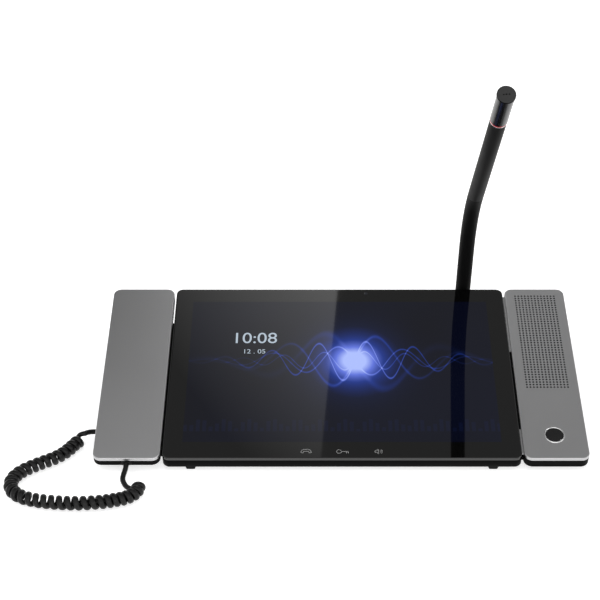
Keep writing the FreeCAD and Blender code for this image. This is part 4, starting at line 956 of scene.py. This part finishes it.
# How far the plain ends run straight on from the coil
HANDSET_RUN = 4.9 * MM
BASE_RUN = 1.5 * MM
# Steps that the NURBS line has for each of its points
COIL_RESOLUTION = 24
LEAD_RESOLUTION = 12

# Turns per length along the coil, as shares of the mean: closer together at the handset's end
CLOSENESS = ((0.0, 1.0), (0.35, 1.0), (0.48, 0.90), (0.76, 0.90), (0.86, 1.12), (1.0, 1.25))


def turns_before(share):
    """Turns up to a share of the coil's length, where the whole coil is about 1 before it is scaled."""
    total = 0.0
    for (low, low_rate), (high, high_rate) in zip(CLOSENESS, CLOSENESS[1:]):
        if share <= low:
            break
        reach = min(share, high) - low
        end_rate = low_rate + (high_rate - low_rate) * reach / (high - low)
        total += (low_rate + end_rate) / 2 * reach
    return total


def desk_point(x, y, z):
    """A route point in millimetres, moved to the frame."""
    return Vector((slab_origin.x + x * MM, slab_origin.y + y * MM, z * MM))


def nurbs_line(points, resolution):
    """Points read from the smooth NURBS line that a route's points control."""
    curve = bpy.data.curves.new("route", "CURVE")
    curve.dimensions = "3D"
    curve.resolution_u = resolution
    spline = curve.splines.new("NURBS")
    spline.points.add(len(points) - 1)
    for control, point in zip(spline.points, points):
        control.co = (*point, 1)
    spline.order_u = 3
    spline.use_endpoint_u = True
    return [vert.co.copy() for vert in evaluated_mesh(curve).vertices]


class Polyline:
    """A line that can be read at any distance along it."""

    def __init__(self, points):
        self.points = points
        self.marks = [0.0]
        for before, after in zip(points, points[1:]):
            self.marks.append(self.marks[-1] + (after - before).length)
        self.length = self.marks[-1]

    def at(self, along):
        along = min(max(along, 0.0), self.length)
        low, high = 0, len(self.marks) - 1
        while high - low > 1:
            middle = (low + high) // 2
            if self.marks[middle] <= along:
                low = middle
            else:
                high = middle
        share = (along - self.marks[low]) / (self.marks[high] - self.marks[low])
        return self.points[low].lerp(self.points[high], share)

    def ahead(self, along):
        return (self.at(along + GLANCE) - self.at(along - GLANCE)).normalized()


def curl_point(line, along):
    """Point of the wire wound about the middle line, at a distance along that line."""
    turned = along ** 2 / UNWIND / 2 if along < UNWIND else along - UNWIND / 2
    share = turns_before(turned / line.length) / turns_before(1 - UNWIND / 2 / line.length)
    angle = math.pi / 2 + 2 * math.pi * CURL_TURNS * share
    aside = line.ahead(along).cross(UP)
    return line.at(along) + (aside * -math.cos(angle) + UP * math.sin(angle)) * CURL_RADIUS


def curl_size(line, along):
    """Width and thickness of the wire along the middle line: it fills most of the room between its turns."""
    pitch = line.length / CURL_TURNS
    ahead = along + pitch if along < line.length / 2 else along - pitch
    room = (curl_point(line, ahead) - curl_point(line, along)).length
    full = min(max(FILLED * room, WIRE), WIDEST)
    near = min(along / pitch, (line.length - along) * 2 / pitch, 1.0)
    thickness = WIRE if along > line.length / 2 else LEAD + (WIRE - LEAD) * near
    return LEAD + (full - LEAD) * near, thickness


def curly_cord():
    """Coil on the desk, with a plain end up to the handset's gland and one to the plug under the handset."""
    route = [desk_point(x, y, CURL_LEVEL / MM) for x, y in CURL_ROUTE]
    middle = Polyline(nurbs_line(route, COIL_RESOLUTION))
    count = int(CURL_TURNS * TURN_STEPS)
    marks = [middle.length * (count - i) / count for i in range(count + 1)]
    curls = [curl_point(middle, mark) for mark in marks]
    leaving = curls[0] - curls[1]
    leaving = Vector((leaving.x, leaving.y, 0)).normalized()
    handset_join = curls[0] + leaving * WIRE
    exit_point = slab @ Vector((HANDSET_CENTRE, *GLAND_MOUTH))
    first_corner = slab @ Vector((HANDSET_CENTRE, *GLAND_CORNER))
    plug_face = Vector((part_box("cord_plug")[0].x, *(slab @ Vector((0, *PLUG_FACE))).yz))
    corners = [desk_point(*corner) for corner in HANDSET_LEAD_CORNERS]
    handset_lead = nurbs_line([exit_point, first_corner, *corners, handset_join + leaving * HANDSET_RUN,
                               handset_join], LEAD_RESOLUTION)
    base_lead = nurbs_line([curls[-1], curls[-1] - middle.ahead(0) * BASE_RUN, desk_point(*BASE_LEAD_CORNER),
                            plug_face], LEAD_RESOLUTION)
    path = handset_lead + curls + base_lead[1:]
    sides = ([-middle.ahead(marks[0])] * len(handset_lead) + [-middle.ahead(mark) for mark in marks]
             + [UP.cross(middle.ahead(0))] * (len(base_lead) - 1))
    lead_count = len(handset_lead)
    sizes = [(LEAD, WIRE + (LEAD - WIRE) * min(1.0, 2 - 2 * i / lead_count)) for i in range(lead_count)]
    sizes += [curl_size(middle, mark) for mark in marks]
    sizes += [(LEAD, LEAD)] * (len(base_lead) - 1)
    mesh = tube(path, sides, sizes, WIRE_SIDES, closed=(0, -1))
    cord = make_piece("curly_cord", mesh, [materials["cord_rubber"]], "base", Matrix(),
                      ["cord_curls", "handset_lead", "base_lead"])
    Polyline(path).length


# Stage, light and camera

FLOOR_HALF = 4.0
FLOOR_LEVEL = -0.2 * MM
FLOOR_GLOW = 0.7
ROOM_LEVEL = 0.5


def seen_directly(tree):
    """One for rays from the camera and for what metal or glass shows, and zero for other light."""
    path = tree.nodes.new("ShaderNodeLightPath")
    value = path.outputs["Is Camera Ray"]
    for name in ("Is Glossy Ray", "Is Transmission Ray"):
        either = tree.nodes.new("ShaderNodeMath")
        either.operation = "MAXIMUM"
        tree.links.new(value, either.inputs[0])
        tree.links.new(path.outputs[name], either.inputs[1])
        value = either.outputs[0]
    return value


def stage_panel(name, outline, place, finish):
    """Flat panel of the studio, drawn about its own origin."""
    mesh = bmesh.new()
    mesh.faces.new(add_loop(mesh, outline, 0))
    panel = mesh_object(name, mesh, [finish])
    panel.matrix_world = place
    return panel


def white_stage():
    """Pale floor that looks white, keeps a faint shadow and lights the object as pale card does."""
    shader = Shader("floor")
    glow = shader.times(seen_directly(shader.tree), FLOOR_GLOW)
    shader.set(color=grey(0.8), roughness=0.9, specular=0.0, emission=grey(1.0), glow=glow)
    stage_panel("floor", rectangle(-FLOOR_HALF, FLOOR_HALF, -FLOOR_HALF, FLOOR_HALF),
                Matrix.Translation((0, 0, FLOOR_LEVEL)), shader.material)


def room_light():
    """World that looks white and lights the object at a plain level."""
    world = bpy.data.worlds.new("room")
    bpy.context.scene.world = world
    world.use_nodes = True
    tree = world.node_tree
    strength = tree.nodes.new("ShaderNodeMapRange")
    strength.inputs["To Min"].default_value = ROOM_LEVEL
    tree.links.new(seen_directly(tree), strength.inputs["Value"])
    background = tree.nodes["Background"]
    background.inputs["Color"].default_value = grey(1.0)
    tree.links.new(strength.outputs["Result"], background.inputs["Strength"])


# The camera's place in slab coordinates, in millimetres
VIEW_SIDE = -18.3
VIEW_FRONT = -656.8
VIEW_HEIGHT = 797.4
LOOK_DOWN = math.radians(32.6)
# Side of the photograph, its focal length and the sideways shift of its axis, in pixels
IMAGE_SIDE = 600
FOCAL_LENGTH = 1528
AXIS_SHIFT = -15
SENSOR = 36

CARD_HEIGHT = 600 * MM
CARD_FRONT = 150 * MM
CARD_BACK = 2600 * MM
CARD_HALF = 1500 * MM
CARD_LEVEL = 0.25
# A length on the card, over the length that its mirror image takes on the glass
MIRROR_SCALE = 1.7525
# The patch's light along its middle at the front edge, and by the millimetre on the glass: how it rises
# towards the back, how it falls to each side, and how much steeper that fall gets towards the back
PATCH_LIGHT = 1.34
PATCH_RISE = 0.0214
PATCH_FALL = 0.0214
PATCH_STEEPENING = 6.37e-5
# A place in millimetres that the patch's edge goes through on the card, and how the edge leans
PATCH_EDGE_SIDE = -20.7
PATCH_EDGE_BACK = 380
PATCH_EDGE_LEAN = 38.5 / 480
# Where the shade over the handset starts and is full, in millimetres on the glass
SHADE_SIDES = (-119.0, -150.0)
SHADE_DEPTHS = (-20.0, 170.0)
SHADE = 0.9


def overhead_card():
    """Grey card above, which the flat tops mirror, with a brighter patch that ends in a slanted edge."""
    shader = Shader("card")
    plus, minus, times = shader.plus, shader.minus, shader.times
    axes = shader.axes(shader.place())

    def on_glass(axis, view):
        """Millimetres on the glass where the card's mirror image shows, from the photograph's view."""
        return plus(times(axes[axis], 1 / MIRROR_SCALE / MM), view - view / MIRROR_SCALE)

    u = on_glass("X", VIEW_SIDE)
    v = on_glass("Y", VIEW_FRONT)
    fall = times(shader.math("ABSOLUTE", u), plus(times(v, PATCH_STEEPENING), PATCH_FALL))
    patch = shader.math("MAXIMUM", minus(plus(times(v, PATCH_RISE), PATCH_LIGHT), fall), 0.0)
    edge = plus(times(axes["Y"], PATCH_EDGE_LEAN),
                (PATCH_EDGE_SIDE - PATCH_EDGE_BACK * PATCH_EDGE_LEAN) * MM)
    left = shader.math("LESS_THAN", axes["X"], edge)
    shade = times(shader.spread(u, 0.0, 1.0, *SHADE_SIDES),
                  shader.spread(v, -SHADE / 4, SHADE, *SHADE_DEPTHS))
    strength = times(times(plus(times(patch, left), 1.0), minus(1.0, shade)), CARD_LEVEL)
    glow = shader.add("ShaderNodeEmission", {"Color": grey(1.0), "Strength": strength})
    shader.tree.links.new(glow.outputs[0], shader.tree.nodes["Material Output"].inputs["Surface"])
    card = stage_panel("overhead_card", rectangle(-CARD_HALF, CARD_HALF, CARD_FRONT, CARD_BACK),
                       slab @ Matrix.Translation((0, 0, CARD_HEIGHT)), shader.material)
    card.visible_camera = False
    card.visible_diffuse = False
    card.visible_shadow = False


# Name, place, aim, size and power of each lamp, and whether glossy surfaces show it
LAMPS = (
    ("front_box", (0, -1.4, 0.6), (0, 0, 0.05), (1.6, 0.45), 4, True),
    ("left_box", (-1.1, -0.2, 1.0), (0, 0, 0), (0.8, 0.8), 3, False),
    ("right_box", (1.2, -0.4, 0.7), (0, 0, 0.1), (0.5, 0.9), 1.5, True),
    ("top_box", (0, 0, 1.5), (0, 0, 0), (1.2, 0.9), 6, False),
)


def studio_lights():
    for name, place, aim, size, power, shown in LAMPS:
        data = bpy.data.lights.new(name, "AREA")
        data.shape = "RECTANGLE"
        data.size, data.size_y = size
        data.energy = power
        light = bpy.data.objects.new(name, data)
        light.location = place
        light.rotation_euler = (Vector(aim) - Vector(place)).to_track_quat("-Z", "Y").to_euler()
        light.visible_glossy = shown
        bpy.context.collection.objects.link(light)


def photo_camera():
    data = bpy.data.cameras.new("camera")
    data.sensor_width = SENSOR
    data.lens = FOCAL_LENGTH / IMAGE_SIDE * SENSOR
    data.shift_x = AXIS_SHIFT / IMAGE_SIDE
    data.clip_start = 0.01
    camera = bpy.data.objects.new("camera", data)
    camera.location = slab @ Vector((VIEW_SIDE * MM, VIEW_FRONT * MM, VIEW_HEIGHT * MM))
    camera.rotation_euler = (math.pi / 2 - LOOK_DOWN, 0, 0)
    bpy.context.collection.objects.link(camera)
    bpy.context.scene.camera = camera


def finish_cad_nodes():
    """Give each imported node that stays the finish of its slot."""
    slots = {part["node"]: part["material_slot"] for part in frame["record"]["subparts"]}
    for name, node in nodes.items():
        material = materials[slots[name]]
        for slot in node.material_slots:
            slot.material = material


bpy.context.scene.view_settings.view_transform = "Standard"
photo_camera()
white_stage()
room_light()
overhead_card()
studio_lights()
curly_cord()
finish_cad_nodes()
tablet_glass()
tablet_frame()
touch_icons()
screen_digits()
camera_window()
handset_cover()
wing_cover()
wing_flange()
call_key_pieces()
gooseneck_sleeve()
microphone()

bpy.context.view_layer.update()
